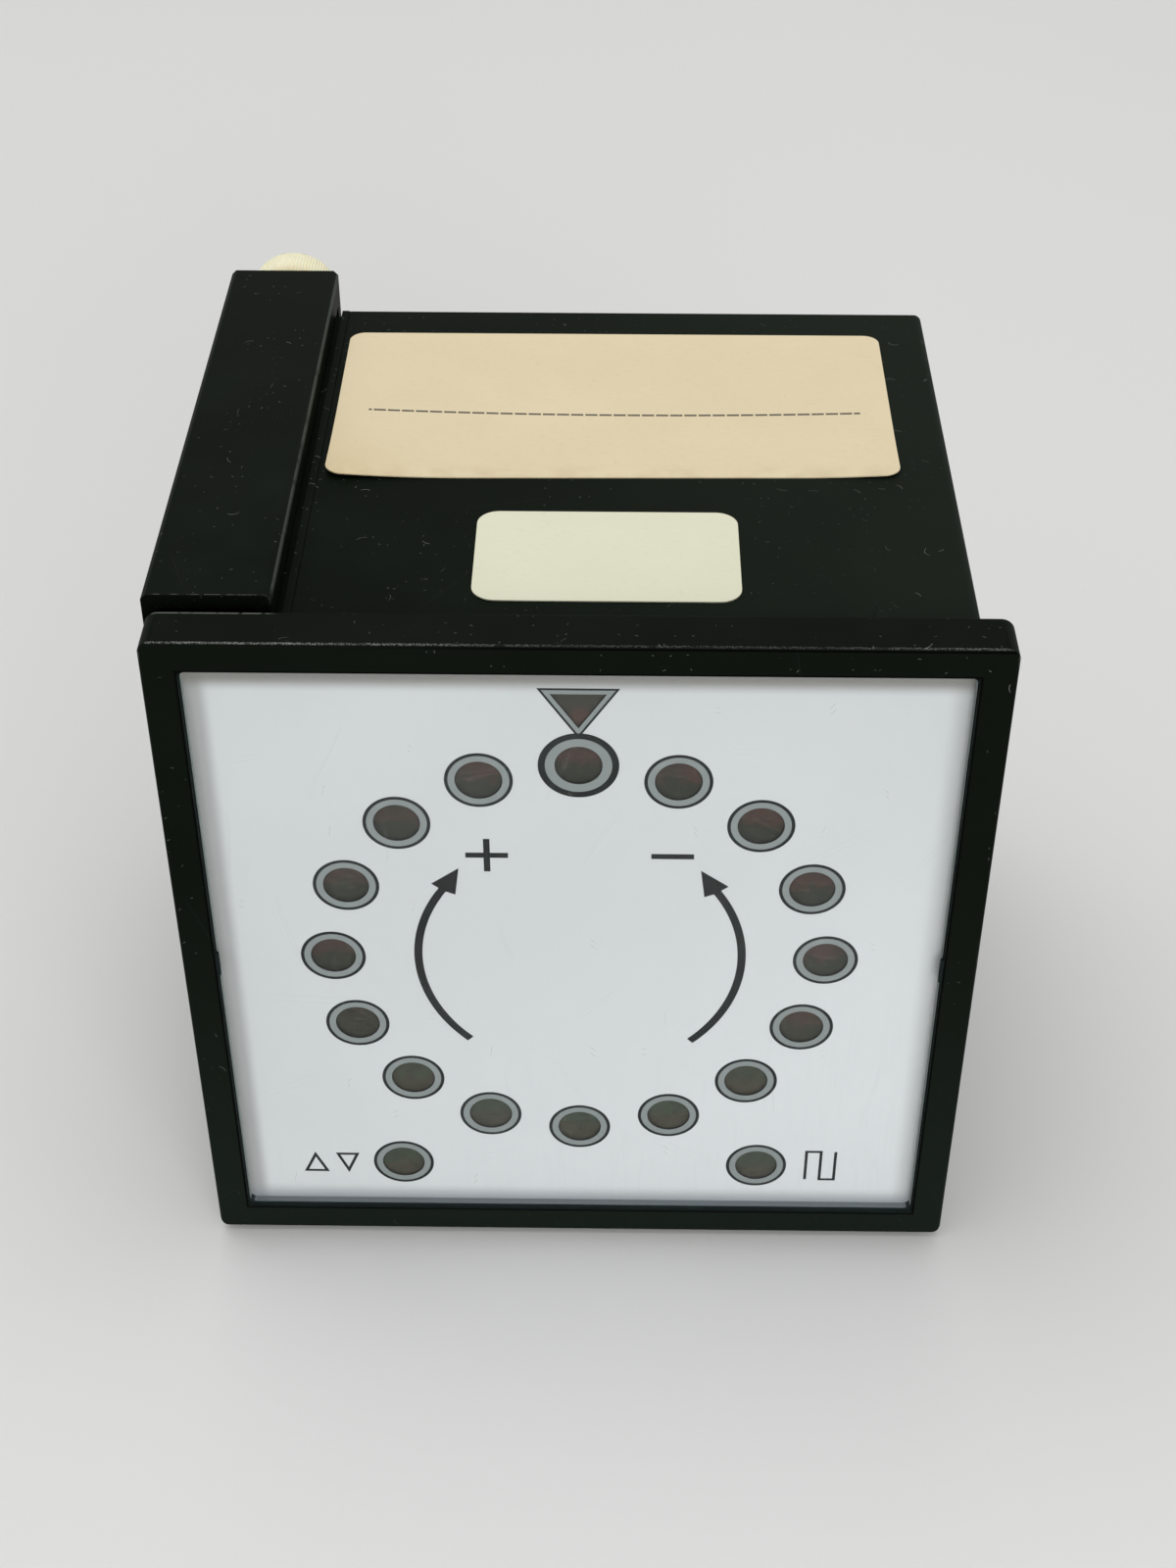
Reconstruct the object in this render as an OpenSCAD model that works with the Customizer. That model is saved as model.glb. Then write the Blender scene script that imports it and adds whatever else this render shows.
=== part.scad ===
// Panel synchroscope with a ring of lights, in a square case held by two corner clamps.
// Millimetres. X to the right, Y back into the panel, Z up. The origin is on the axis of the
// case, in the plane where the back of the bezel meets the panel.

/* [Bezel] */
// Width and height of the square bezel
bezel_w = 96; // [92:0.1:100]
// How far the bezel stands over the case on each side
bezel_lip = 2.9; // [2.6:0.1:3.2]
// Thickness of the bezel in front of the panel
bezel_t = 5.7; // [5.2:0.1:7]
// Corner radius of the bezel
bezel_r = 1.7; // [1.2:0.1:3]
// Radius of the rounded front edge of the bezel
bezel_edge_r = 0.45; // [0.2:0.05:0.9]
// Width of the frame seen round the window
bezel_border = 4.05; // [3.4:0.05:4.6]
// Corner radius of the window opening
opening_r = 1; // [0.8:0.1:2]
// Depth of the collar that plugs into the case
spigot_l = 8; // [7:0.5:9.5]
// Wall of the collar
spigot_wall = 1.6; // [1.2:0.1:2]
// Height of the snap ridges on the collar
snap_h = 0.5; // [0.3:0.05:0.6]
// Length of each snap ridge
snap_l = 24; // [14:1:40]
// Length of the two nibs that hold the window
nib_l = 3.6; // [2:0.2:6]
// How far each nib stands over the window
nib_h = 0.45; // [0.3:0.05:0.8]

/* [Window and dial] */
// Depth of the clear window below the front of the bezel
window_recess = 0.6; // [0.55:0.05:0.8]
// Thickness of the clear window
window_t = 1.05; // [0.8:0.05:1.2]
// Thickness of the printed dial
dial_t = 0.3; // [0.2:0.05:0.4]
// Thickness of the smoked filter behind the dial
filter_t = 0.8; // [0.5:0.1:1]
// Number of lights in the ring
ring_count = 16; // [8:2:18]
// Distance of the lights of the ring in from the edge of the window
ring_margin = 14.1; // [13.6:0.05:15]
// Height of the ring's centre above the case axis
ring_z = 0.25; // [-0.5:0.05:0.5]
// Radius of each round light opening
light_r = 2.74; // [2:0.02:2.9]
// Distance of each limit light in from the side of the window
limit_side = 20.85; // [16:0.05:22]
// Height of the limit lights above the lower edge of the window
limit_rise = 7.25; // [6.8:0.05:8]
// Distance of the flat top edge of the pointer opening below the upper edge of the window
pointer_drop = 3.75; // [3.4:0.05:4.2]
// Half the width of the pointer opening
pointer_half = 3.2; // [2.5:0.02:3.6]
// Height of the pointer opening
pointer_h = 4.8; // [4:0.02:5]

/* [Lights and light box] */
// Radius of a light's body
led_r = 2.5; // [1.5:0.1:2.5]
// Length of a light from its board to the tip of its dome
led_l = 8.6; // [7:0.1:9.4]
// Width and thickness of a light's flange beyond its body
led_flange = 0.4; // [0.2:0.1:0.5]
// Wall of each tube of the light box
tube_wall = 0.6; // [0.4:0.1:0.7]
// Thickness of the light box plate
box_t = 4.4; // [3:0.1:4.8]
// Length of its tubes behind the plate
tube_l = 4.7; // [3:0.1:4.8]

/* [Case] */
// Depth of the case behind the bezel
case_d = 75.6; // [70:0.1:90]
// Wall thickness of the case
case_wall = 2.2; // [1.8:0.1:2.5]
// Corner radius of the case
case_r = 1.2; // [0.8:0.1:2]
// Radius of the case's rear edges
case_edge_r = 0.5; // [0.4:0.1:2]
// Width of the lowered corner strips that the clamps ride on
strip_w = 11.8; // [11:0.1:13]
// Depth of the lowered strips
strip_d = 0.8; // [0.5:0.1:1]
// Width of the guide rib beside each strip
guide_w = 0.9; // [0.6:0.1:1.4]
// Height of the guide rib above the case
guide_h = 0.25; // [0.15:0.05:0.4]
// Length of the wedges that centre the case in the panel
wedge_l = 7.6; // [5:0.1:10]
// Width of a centring wedge at the bezel
wedge_w = 2.6; // [1.6:0.1:4]
// Distance of the centring wedges from the case axis
wedge_x = 33.9; // [28:0.1:38]
// Gap between the case and the edge of the panel's cut-out
cutout_gap = 0.9; // [0.6:0.05:1.2]

/* [Corner clamps] */
// Distance of the clamp's outer faces from the case
clamp_stand = 3.6; // [3.2:0.1:4.2]
// Width of each leg of the clamp
clamp_leg = 14.5; // [13.6:0.1:15.2]
// Wall of the clamp moulding
clamp_wall = 1.8; // [1.2:0.1:2]
// How far the clamp ends behind the case
clamp_tail = 4.8; // [4:0.1:8]
// Gap between the clamp and the back of the bezel, as photographed
clamp_front = 2.2; // [1:0.1:6]
// Thickness of the clamp's end wall
clamp_end = 2.5; // [2:0.1:3]
// Clearance of the clamp over the lowered strips
clamp_gap = 0.3; // [0.2:0.05:0.4]
// Bevel along the edges of the clamp
clamp_bevel = 0.6; // [0.3:0.1:1]
// Number of stiffening webs inside the clamp
web_count = 5; // [3:1:8]
// Thickness of a stiffening web
web_t = 1.4; // [1:0.1:2]

/* [Thumbscrews] */
// Radius of the nylon screw's thread
screw_r = 1.95; // [1.5:0.05:1.95]
// Distance of the screw's axis in from the faces of the case
screw_inset = 3.8; // [3.7:0.1:4.5]
// Length of the thread below the collar
screw_l = 24; // [20:0.5:28]
// Radius of the knurled wheel
wheel_r = 6.1; // [5:0.1:7]
// Thickness of the knurled wheel
wheel_t = 6.5; // [4:0.1:8]
// Radius of the collar under the wheel
collar_r = 3.4; // [2.8:0.1:4]
// Thickness of the collar
collar_t = 2.1; // [1:0.1:3]
// Number of serrations round the wheel
wheel_teeth = 90; // [24:2:100]
// Depth of a serration
tooth_h = 0.16; // [0.1:0.02:0.5]
// Width of the screwdriver slot across the wheel
slot_w = 1.2; // [0.8:0.1:2]
// Depth of that slot
slot_d = 1.4; // [0.8:0.1:2.5]

/* [Rear cover and terminals] */
// Distance of the cover's screws in from the inside of the case
cover_screw_inset = 4.6; // [4:0.1:6]
// Wall of the case's bosses round those screws
cover_boss_wall = 2.15; // [1.5:0.05:3]
// Room left in a boss below the tip of its screw
pilot_spare = 3.5; // [1:0.5:5]
// Thickness of the closed end of a boss
boss_floor = 4; // [1:0.5:6]
// Length of a terminal nut's tail in front of the cover
nut_tail_l = 4; // [2:0.5:6]
// Gap between the tails and the transformers
transformer_clear = 2.5; // [1:0.5:5]
// Thickness of the rear cover
cover_t = 2.5; // [2:0.1:3]
// Depth of the cover below the rear edge of the case
cover_recess = 0.3; // [0.1:0.1:1]
// Length of the cover's two screws below their heads
cover_screw_l = 11; // [8:0.5:13]
// Radius of their heads
cover_head_r = 2.6; // [2:0.1:3]
// Thickness of their heads
cover_head_t = 1.8; // [1.2:0.1:2.4]
// Number of terminals
terminal_count = 4; // [2:1:4]
// Spacing of the terminals
terminal_pitch = 15.5; // [13.5:0.1:17]
// Height of the terminals above the case axis
terminal_z = 2; // [-4:0.5:10]
// Height of the terminal block
block_h = 24; // [20:0.5:30]
// How far the block's floor stands behind the cover
block_floor = 3.5; // [2:0.1:5]
// How far the barriers stand behind the cover
barrier_l = 11.6; // [11.2:0.1:14]
// Thickness of a barrier
barrier_t = 2; // [1.2:0.1:3]
// Width of the square brass nut of a terminal
nut_w = 8; // [7:0.1:9]
// Width of the square wire clamp under a terminal screw
washer_w = 8.6; // [8:0.1:10]
// Thickness of the wire clamp
washer_t = 1.2; // [0.8:0.1:1.6]
// Radius of a terminal screw's thread
terminal_screw_r = 1.95; // [1.5:0.05:2.2]
// Length of a terminal screw below its head
terminal_screw_l = 9; // [7:0.5:10]
// Radius of a terminal screw's head
terminal_head_r = 3.7; // [3.2:0.1:4]
// Thickness of a terminal screw's head
terminal_head_t = 2.6; // [2:0.1:3]
// Width of the brass tail from each nut to the main board
tail_w = 4; // [2:0.1:5]
// Thickness of the brass tail
tail_t = 0.8; // [0.5:0.1:1.2]

/* [Boards and parts] */
// Thickness of both circuit boards
board_t = 1.6; // [1.2:0.1:1.8]
// Length of the screws that hold the display board
display_screw_l = 6.2; // [4:0.1:7]
// Radius of their heads
display_head_r = 2.3; // [1.8:0.1:2.5]
// Thickness of their heads
display_head_t = 1.6; // [1:0.1:2]
// Depth of the display board behind the panel plane
display_y = 7.4; // [7.2:0.1:8.2]
// Depth of the front edge of the main board
main_y = 9.8; // [9.8:0.1:11]
// Distance of the main board's upper face below the case axis
main_drop = 17.2; // [15:0.1:22]
// How far the guide rails stand in from the case wall
rail_w = 2.6; // [1.5:0.1:3.5]
// Width of a transformer, across the case
transformer_w = 30; // [24:0.5:32]
// Depth of a transformer, front to back
transformer_d = 25; // [20:0.5:26]
// Height of a transformer
transformer_h = 21; // [15:0.5:26]
// Gap between the two transformers, which holds the rectifiers
transformer_gap = 10; // [9:0.5:12]
// Distance from the header to the middle of the first row of parts
row_a = 6.2; // [6:0.1:8]
// Distance from the header to the middle of the second row of parts
row_b = 15.7; // [15.4:0.1:18]
// Spacing of the legs of the chips and the header
pin_pitch = 2.54; // [2.4:0.01:2.54]
// Number of ways of the header
header_ways = 14; // [8:1:16]
// Depth of the header, front to back
header_d = 6; // [4:0.1:6.4]
// Height of the header
header_h = 5; // [3:0.1:8]
// Number of legs of each light driver
driver_pins = 16; // [8:2:18]
// Distance of the light drivers from the centre line
driver_x = 18; // [15:0.5:22]
// Height of the light drivers above the case axis
driver_z = 8; // [-6:0.5:16]
// Number of legs of the controller
controller_pins = 28; // [16:4:28]
// Height of a chip's body
chip_h = 3.6; // [2:0.1:4.5]
// Radius of a reservoir capacitor
capacitor_r = 5; // [4:0.1:5.5]
// Height of a reservoir capacitor
capacitor_h = 16; // [10:0.5:20]
// Distance of the reservoir capacitors from the centre line
capacitor_x = 29.5; // [27:0.5:31]
// Length of a film capacitor
film_l = 13; // [8:0.5:14]
// Width of a film capacitor
film_w = 6; // [4:0.5:7]
// Height of a film capacitor
film_h = 10; // [7:0.5:14]
// Gap between the film capacitors and the guide rails
film_gap = 3.8; // [2:0.1:4]
// Length of a dropper resistor
dropper_l = 17; // [10:0.5:18]
// Width of a dropper resistor
dropper_w = 5; // [4:0.5:7]
// Height of a dropper resistor
dropper_h = 6.5; // [4:0.5:9]
// Distance of the dropper resistors from the centre line
dropper_x = 11; // [10:0.5:13]
// Length of a bridge rectifier
rectifier_l = 16; // [10:0.5:20]
// Thickness of a bridge rectifier
rectifier_t = 3.6; // [2:0.1:4]
// Height of a bridge rectifier
rectifier_h = 10; // [8:0.5:14]

/* [Labels] */
// Gap between the upper clamp and the large label beside it
label_gap = 2.65; // [0.6:0.05:6]
// Distance of the large label's right edge in from the side of the case
label_side = 6.45; // [3:0.05:9]
// Depth of the large label, front to back
label_d = 36.1; // [25:0.1:38]
// Distance of its rear edge from the back of the case
label_back = 6.3; // [4:0.1:8]
// Width of the small label
tag_w = 30.8; // [20:0.1:40]
// Depth of the small label
tag_d = 18.6; // [12:0.1:22]
// Distance of its front edge behind the bezel
tag_y = 6.8; // [6:0.1:8]
// Distance of its middle right of the centre line
tag_x = 3; // [-5:0.1:8]
// Corner radius of both labels
label_r = 2; // [1:0.1:4]
// Thickness of both labels
label_t = 0.15; // [0.1:0.05:0.3]

/* [Hidden] */
$fn = 48;
fit_gap = 0.2;        // general clearance between moulded parts
thread_gap = 0.05;    // radial clearance of a screw in its thread
part_gap = 0.05;      // clearance between flat faces of moving parts
stack_gap = 0.15;     // clearance round the window, dial and filter
overlap = 0.5;        // how far fused shapes reach into each other
case_w = bezel_w - 2 * bezel_lip;
case_half = case_w / 2;
case_in = case_half - case_wall;
opening_w = bezel_w - 2 * bezel_border;
stack_w = opening_w - 2 * stack_gap;
window_y = -bezel_t + window_recess;
dial_y = window_y + window_t;
filter_y = dial_y + dial_t;
ledge_y = filter_y + filter_t;
ring_r = opening_w / 2 - ring_margin;
limit_x = opening_w / 2 - limit_side;
limit_drop = opening_w / 2 - limit_rise;
pointer_top = opening_w / 2 - pointer_drop;
spigot_out = case_in - fit_gap;
spigot_in = spigot_out - spigot_wall;
snap_y = 0.6 * spigot_l;
post_r = 3;
post_c = spigot_in - post_r - 0.6;
pilot_r = 1;
led_step = 360 / ring_count;
tube_in = led_r + 0.15;
pointer_led_z = spigot_in - fit_gap - tube_in - tube_wall - 0.1;
box_back = ledge_y + box_t;
case_inner_r = 0.8;
strip_face = case_half - strip_d;
clamp_face = case_half + clamp_stand;
clamp_depth = clamp_face - strip_face - clamp_gap;
clamp_back = case_d + clamp_tail;
clamp_l = clamp_back - clamp_front;
screw_c = case_half - screw_inset;
boss_in = screw_c - screw_r - 2.2;
collar_y = clamp_back + part_gap;
boss_y = collar_y - screw_l - clamp_front - 0.5;
wheel_y = collar_y + collar_t;
wheel_bevel = 0.6;
wheel_core_r = wheel_r - tooth_h - 0.05;
cover_back = case_d - cover_recess;
cover_front = cover_back - cover_t;
cover_half = case_in - fit_gap;
cover_screw_c = case_in - cover_screw_inset;
cover_screw_r = 1.25;
cover_boss = cover_screw_r + cover_boss_wall;
cover_pilot_y = cover_back - cover_screw_l - pilot_spare;
floor_y = cover_back + block_floor;
block_w = terminal_count * terminal_pitch + barrier_t;
washer_y = floor_y + part_gap;
head_y = washer_y + washer_t;
tail_y = cover_front - nut_tail_l;
main_z = -main_drop;
main_half = case_in - 0.4;
main_back = cover_front - 1.6;
display_back = display_y + board_t;
parts_y = display_back + header_d;
row_a_y = parts_y + row_a;
row_b_y = parts_y + row_b;
transformer_y = tail_y - transformer_clear - transformer_d / 2;
rail_t = 1.4;
label_left = label_gap - clamp_face + clamp_leg;
label_right = case_half - label_side;
label_y = case_d - label_back - label_d;

function terminal_x(i) = (i - (terminal_count + 1) / 2) * terminal_pitch;
function ring_point(i) = [ring_r * sin(i * led_step), ring_z + ring_r * cos(i * led_step)];

// A flat shape drawn in X and Z, thickened from y0 back to y1
module along_y(y0, y1) {
    translate([0, y1, 0]) rotate([90, 0, 0]) linear_extrude(height = y1 - y0) children();
}

// A round bar along Y
module rod(r, y0, y1, x = 0, z = 0) {
    translate([x, y1, z]) rotate([90, 0, 0]) cylinder(r = r, h = y1 - y0);
}

module rounded_rect(w, h, r) {
    square([w, h - 2 * r], center = true);
    square([w - 2 * r, h], center = true);
    for (x = [-1, 1], y = [-1, 1]) translate([x * (w / 2 - r), y * (h / 2 - r)]) circle(r = r);
}

module all_corners() {
    for (a = [0:90:270]) rotate(a) children();
}

// The two corners that have no clamp, upper right and lower left, or with turn = 90 the other two
module diagonal(turn = 0) {
    for (a = [0, 180]) rotate(a + turn) children();
}

module ring_places() {
    for (i = [0:ring_count - 1]) translate(ring_point(i)) children();
}

module limit_places() {
    for (x = [-1, 1]) translate([x * limit_x, -limit_drop]) children();
}

module pointer_shape() {
    polygon([[-pointer_half, pointer_top], [pointer_half, pointer_top],
        [0, pointer_top - pointer_h]]);
}

// Square bar along Y, w wide, with its edges rounded at the end y = tip. The sign of tip - root
// says which way the end points.
module end_rounded_bar(w, root, tip, r) {
    dir = sign(tip - root);
    intersection_for (a = [0, 90]) rotate([0, a, 0])
        translate([0, 0, -w]) linear_extrude(height = 2 * w) {
            translate([-w / 2, min(root, tip - dir * r)]) square([w, abs(tip - dir * r - root)]);
            translate([-w / 2 + r, min(root, tip)]) square([w - 2 * r, abs(tip - root)]);
            for (x = [-1, 1]) translate([x * (w / 2 - r), tip - dir * r]) circle(r = r);
        }
}

module stack_sheet() {
    rounded_rect(stack_w, stack_w, opening_r);
}

// Bezel: square frame, window ledge, collar that plugs into the case, and four posts.
// The bars rotated by 45 degrees carry the rounded front edge round the corners.
module bezel_plate() {
    corner_w = 2 * ((bezel_w / 2 - bezel_r) * sqrt(2) + bezel_r);
    intersection() {
        along_y(-bezel_t, 0) rounded_rect(bezel_w, bezel_w, bezel_r);
        end_rounded_bar(bezel_w, 0, -bezel_t, bezel_edge_r);
        rotate([0, 45, 0]) end_rounded_bar(corner_w, 0, -bezel_t, bezel_edge_r);
    }
}

module bezel() {
    color("#1c1f1b") {
        difference() {
            union() {
                bezel_plate();
                along_y(-0.5, spigot_l) rounded_rect(2 * spigot_out, 2 * spigot_out, case_inner_r);
                along_y(snap_y - 0.5, snap_y + 0.5)
                    all_corners() translate([spigot_out - 0.2, -snap_l / 2])
                        square([snap_h + 0.2, snap_l]);
            }
            along_y(-bezel_t - 1, ledge_y) rounded_rect(opening_w, opening_w, opening_r);
            along_y(-bezel_t - 1, spigot_l + 1) square(2 * spigot_in, center = true);
        }
        difference() {
            along_y(box_back + part_gap, display_y) all_corners() {
                translate([post_c, post_c]) circle(r = post_r);
                translate([post_c, post_c]) square(spigot_in - post_c + 0.4);
            }
            along_y(0, display_y + 1) all_corners()
                translate([post_c, post_c]) circle(r = pilot_r);
        }
        along_y(-bezel_t + 0.08, window_y - 0.06)
            for (x = [-1, 1]) translate([x * (opening_w / 2 - nib_h / 2 + 0.2), 0])
                square([nib_h + 0.4, nib_l], center = true);
    }
}

module front_window() {
    color([0.85, 0.92, 0.95, 0.3]) along_y(window_y, dial_y) stack_sheet();
}

// Printed dial: one opening for each light of the ring, two limit lights and the pointer
module dial_plate() {
    color("#d6dadd") along_y(dial_y, filter_y) difference() {
        stack_sheet();
        ring_places() circle(r = light_r);
        limit_places() circle(r = light_r);
        pointer_shape();
    }
}

module smoked_filter() {
    color("#47403c") along_y(filter_y, ledge_y) stack_sheet();
}

// Light box: a plate with a tube round each light, so that one light doesn't show in the next
module tube_places() {
    ring_places() children();
    limit_places() children();
    translate([0, pointer_led_z]) children();
}

module light_box() {
    color("#e6e6e0") difference() {
        union() {
            along_y(ledge_y, box_back)
                square(2 * (spigot_in - fit_gap), center = true);
            along_y(box_back - 0.5, box_back + tube_l)
                tube_places() circle(r = tube_in + tube_wall, $fn = 24);
        }
        along_y(ledge_y - 1, box_back + tube_l + 1) tube_places() circle(r = tube_in, $fn = 24);
    }
}

// Lights: flange on the board, body and domed tip
module led(x, z) {
    translate([x, display_y, z]) rotate([90, 0, 0]) {
        cylinder(r = led_r + led_flange, h = 1, $fn = 24);
        cylinder(r = led_r, h = led_l - led_r, $fn = 24);
        translate([0, 0, led_l - led_r]) sphere(r = led_r, $fn = 24);
    }
}

module ring_leds() {
    color("#8d2a22") for (i = [0:ring_count - 1]) led(ring_point(i)[0], ring_point(i)[1]);
}

module pointer_led() {
    color("#8d2a22") led(0, pointer_led_z);
}

module limit_leds() {
    color("#7a8f3a") for (x = [-1, 1]) led(x * limit_x, -limit_drop);
}

module display_board() {
    color("#2f5d3a") along_y(display_y, display_back) difference() {
        square(2 * (spigot_in - 0.4), center = true);
        all_corners() translate([post_c, post_c]) circle(r = pilot_r + 0.5);
    }
}

module display_screws() {
    color("silver") for (x = [-1, 1], z = [-1, 1]) {
        rod(pilot_r - thread_gap, display_back - display_screw_l, display_back + 0.1,
            x * post_c, z * post_c);
        rod(display_head_r, display_back, display_back + display_head_t, x * post_c, z * post_c);
    }
}

// Chip with two rows of legs, standing on the plane z = 0 and long in X
module chip(pins, rows) {
    length = pins / 2 * pin_pitch;
    row_w = rows * pin_pitch;
    leg_w = 0.5;
    leg_d = 1.4;
    translate([-length / 2, -row_w / 2 + 0.6, leg_w]) cube([length, row_w - 1.2, chip_h]);
    for (i = [0:pins / 2 - 1], s = [-1, 1])
        translate([(i + 0.5) * pin_pitch - length / 2 - leg_w / 2, s * row_w / 2 - leg_d / 2, 0])
            cube([leg_w, leg_d, chip_h / 2 + leg_w]);
}

// Things that stand in a pair on the main board, at the same distance each side of its middle
module board_pair(x, y) {
    for (side = [-1, 1]) translate([side * x, y, main_z]) children();
}

module standing_block(l, w, h) {
    translate([-l / 2, -w / 2, 0]) cube([l, w, h]);
}

module led_drivers() {
    color("#26262a") for (x = [-1, 1])
        translate([x * driver_x, display_back, driver_z]) rotate([-90, 0, 0])
            chip(driver_pins, 3);
}

// Right-angle header: it lies on the main board and meets the back of the display board
module board_header() {
    color("#17181a") translate([-header_ways * pin_pitch / 2, display_back, main_z])
        cube([header_ways * pin_pitch, header_d, header_h]);
}

module main_board() {
    color("#2f5d3a") translate([0, 0, main_z - board_t]) difference() {
        translate([-main_half, main_y, 0]) cube([2 * main_half, main_back - main_y, board_t]);
        for (i = [1:terminal_count])
            translate([terminal_x(i) - tail_w / 2 - 0.2, tail_y - 0.2, -1])
                cube([tail_w + 0.4, tail_t + 0.4, board_t + 2]);
    }
}

// Potted transformer with its stepped lid, on the plane z = 0
module transformer() {
    step = 1.2;
    standing_block(transformer_w, transformer_d, transformer_h - step);
    standing_block(transformer_w - 2 * step, transformer_d - 2 * step, transformer_h);
}

module transformer_at(side) {
    translate([side * (transformer_w + transformer_gap) / 2, transformer_y, main_z]) transformer();
}

module bus_transformer() {
    color("#2b3f66") transformer_at(-1);
}

module generator_transformer() {
    color("#2b3f66") transformer_at(1);
}

module controller_chip() {
    color("#26262a") translate([0, row_a_y, main_z]) chip(controller_pins, 4);
}

module reservoir_capacitors() {
    color("#20242e") board_pair(capacitor_x, row_b_y) {
        cylinder(r = capacitor_r, h = capacitor_h - 0.3);
        cylinder(r = capacitor_r * 0.86, h = capacitor_h);
    }
}

module film_capacitors() {
    color("#b88a2c") board_pair(case_in - rail_w - film_gap - film_l / 2, row_a_y)
        standing_block(film_l, film_w, film_h);
}

module dropper_resistors() {
    color("#d8d2c4") board_pair(dropper_x, row_b_y)
        standing_block(dropper_l, dropper_w, dropper_h);
}

module bridge_rectifiers() {
    color("#26262a") board_pair(transformer_gap / 4, transformer_y)
        standing_block(rectifier_t, rectifier_l, rectifier_h);
}

// Case: square shell with two lowered corner strips, guide ribs, bosses and board rails
module strip_cut(extra = 0) {
    translate([case_half - strip_w, strip_face]) square([strip_w + 1, strip_d + extra]);
    translate([strip_face, case_half - strip_w]) square([strip_d + extra, strip_w + 1]);
}

module case_outline() {
    difference() {
        rounded_rect(case_w, case_w, case_r);
        diagonal(90) strip_cut(1);
    }
    // Guide ribs stand a little proud of the case along the inner edge of each strip
    diagonal(90) {
        translate([case_half - strip_w - guide_w, case_half - 0.5]) square([guide_w, 0.5 + guide_h]);
        translate([case_half - 0.5, case_half - strip_w - guide_w]) square([0.5 + guide_h, guide_w]);
    }
}

module clamp_boss_shape() {
    translate([boss_in, boss_in]) square(case_in - boss_in + 0.5);
}

module cover_boss_shape() {
    translate([cover_screw_c - cover_boss, cover_screw_c - cover_boss])
        square(cover_screw_inset + cover_boss + 0.5);
}

// Wedge that centres the case in the panel opening: it narrows and thins out towards the back
module wedge() {
    tip_w = 0.4;
    root = case_half - overlap;
    intersection() {
        translate([wedge_x, 0, 0]) linear_extrude(height = case_w) polygon([[-wedge_w / 2, 0],
            [wedge_w / 2, 0], [tip_w / 2, wedge_l], [-tip_w / 2, wedge_l]]);
        rotate([90, 0, 90]) linear_extrude(height = case_w) polygon([[0, root],
            [wedge_l, root], [wedge_l, case_half], [0, case_half + cutout_gap - 0.1]]);
    }
}

module board_rails() {
    for (x = [-1, 1], z = [0, 1])
        translate([x * (case_in - rail_w / 2 + overlap / 2), (main_y + main_back) / 2,
            main_z - board_t / 2 + (z == 1 ? 1 : -1) * (board_t / 2 + stack_gap + rail_t / 2)])
            cube([rail_w + overlap, main_back - main_y - 4, rail_t], center = true);
}

module case_shell() {
    difference() {
        intersection() {
            along_y(0, case_d) case_outline();
            end_rounded_bar(case_w + 2 * guide_h, 0, case_d, case_edge_r);
        }
        along_y(-1, case_d + 1)
            rounded_rect(2 * case_in, 2 * case_in, case_inner_r);
        along_y(snap_y - 0.7, snap_y + 0.7) all_corners()
            translate([case_in - 0.2, -snap_l / 2 - 0.5])
                square([snap_h + 0.3, snap_l + 1]);
    }
}

module case() {
    color("#1c1f1b") {
        difference() {
            union() {
                case_shell();
                along_y(boss_y, cover_back) diagonal(90) clamp_boss_shape();
            }
            along_y(boss_y - 1, case_d + 1) diagonal(90)
                translate([screw_c, screw_c]) circle(r = screw_r + thread_gap);
        }
        difference() {
            along_y(cover_pilot_y - boss_floor, cover_front) diagonal() cover_boss_shape();
            along_y(cover_pilot_y, cover_front + 1) diagonal()
                translate([cover_screw_c, cover_screw_c]) circle(r = cover_screw_r);
        }
        board_rails();
        for (a = [0, 180]) rotate([0, a, 0]) {
            wedge();
            mirror([1, 0, -1]) wedge();
        }
    }
}

// Rear cover with the terminal block: a raised floor, barriers and a pocket for each brass nut
module rear_cover() {
    color("#20231f") difference() {
        union() {
            along_y(cover_front, cover_back) difference() {
                rounded_rect(2 * cover_half, 2 * cover_half, case_inner_r);
                diagonal(90) translate([boss_in - fit_gap, boss_in - fit_gap])
                    square(case_in);
            }
            along_y(cover_back - 0.5, floor_y) translate([0, terminal_z])
                rounded_rect(block_w, block_h, 1);
            along_y(cover_back - 0.5, cover_back + barrier_l)
                for (i = [0:terminal_count])
                    translate([(i - terminal_count / 2) * terminal_pitch, terminal_z])
                        rounded_rect(barrier_t, block_h, 0.5);
        }
        along_y(cover_front - 1, floor_y + 1) for (i = [1:terminal_count])
            translate([terminal_x(i), terminal_z]) square(nut_w, center = true);
        along_y(cover_front - 1, cover_back + 1) diagonal()
            translate([cover_screw_c, cover_screw_c]) circle(r = cover_screw_r + 0.35);
    }
}

// Pan-head screw along Y with a cross recess, its head seated at y = seat
module pan_screw(r, length, head_r, head_t, seat, x, z) {
    difference() {
        union() {
            rod(r, seat - length, seat + 0.1, x, z);
            rod(head_r, seat, seat + head_t * 0.6, x, z);
            intersection() {
                rod(head_r, seat, seat + head_t, x, z);
                translate([x, seat + head_t - head_r * 1.5, z]) sphere(r = head_r * 1.5);
            }
        }
        for (a = [45, 135]) translate([x, seat + head_t, z]) rotate([0, a, 0])
            cube([head_r * 1.1, head_t * 1.1, head_r * 0.24], center = true);
    }
}

module cover_screws() {
    color("silver") for (s = [-1, 1])
        pan_screw(cover_screw_r - thread_gap, cover_screw_l, cover_head_r, cover_head_t,
            cover_back, s * cover_screw_c, s * cover_screw_c);
}

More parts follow.
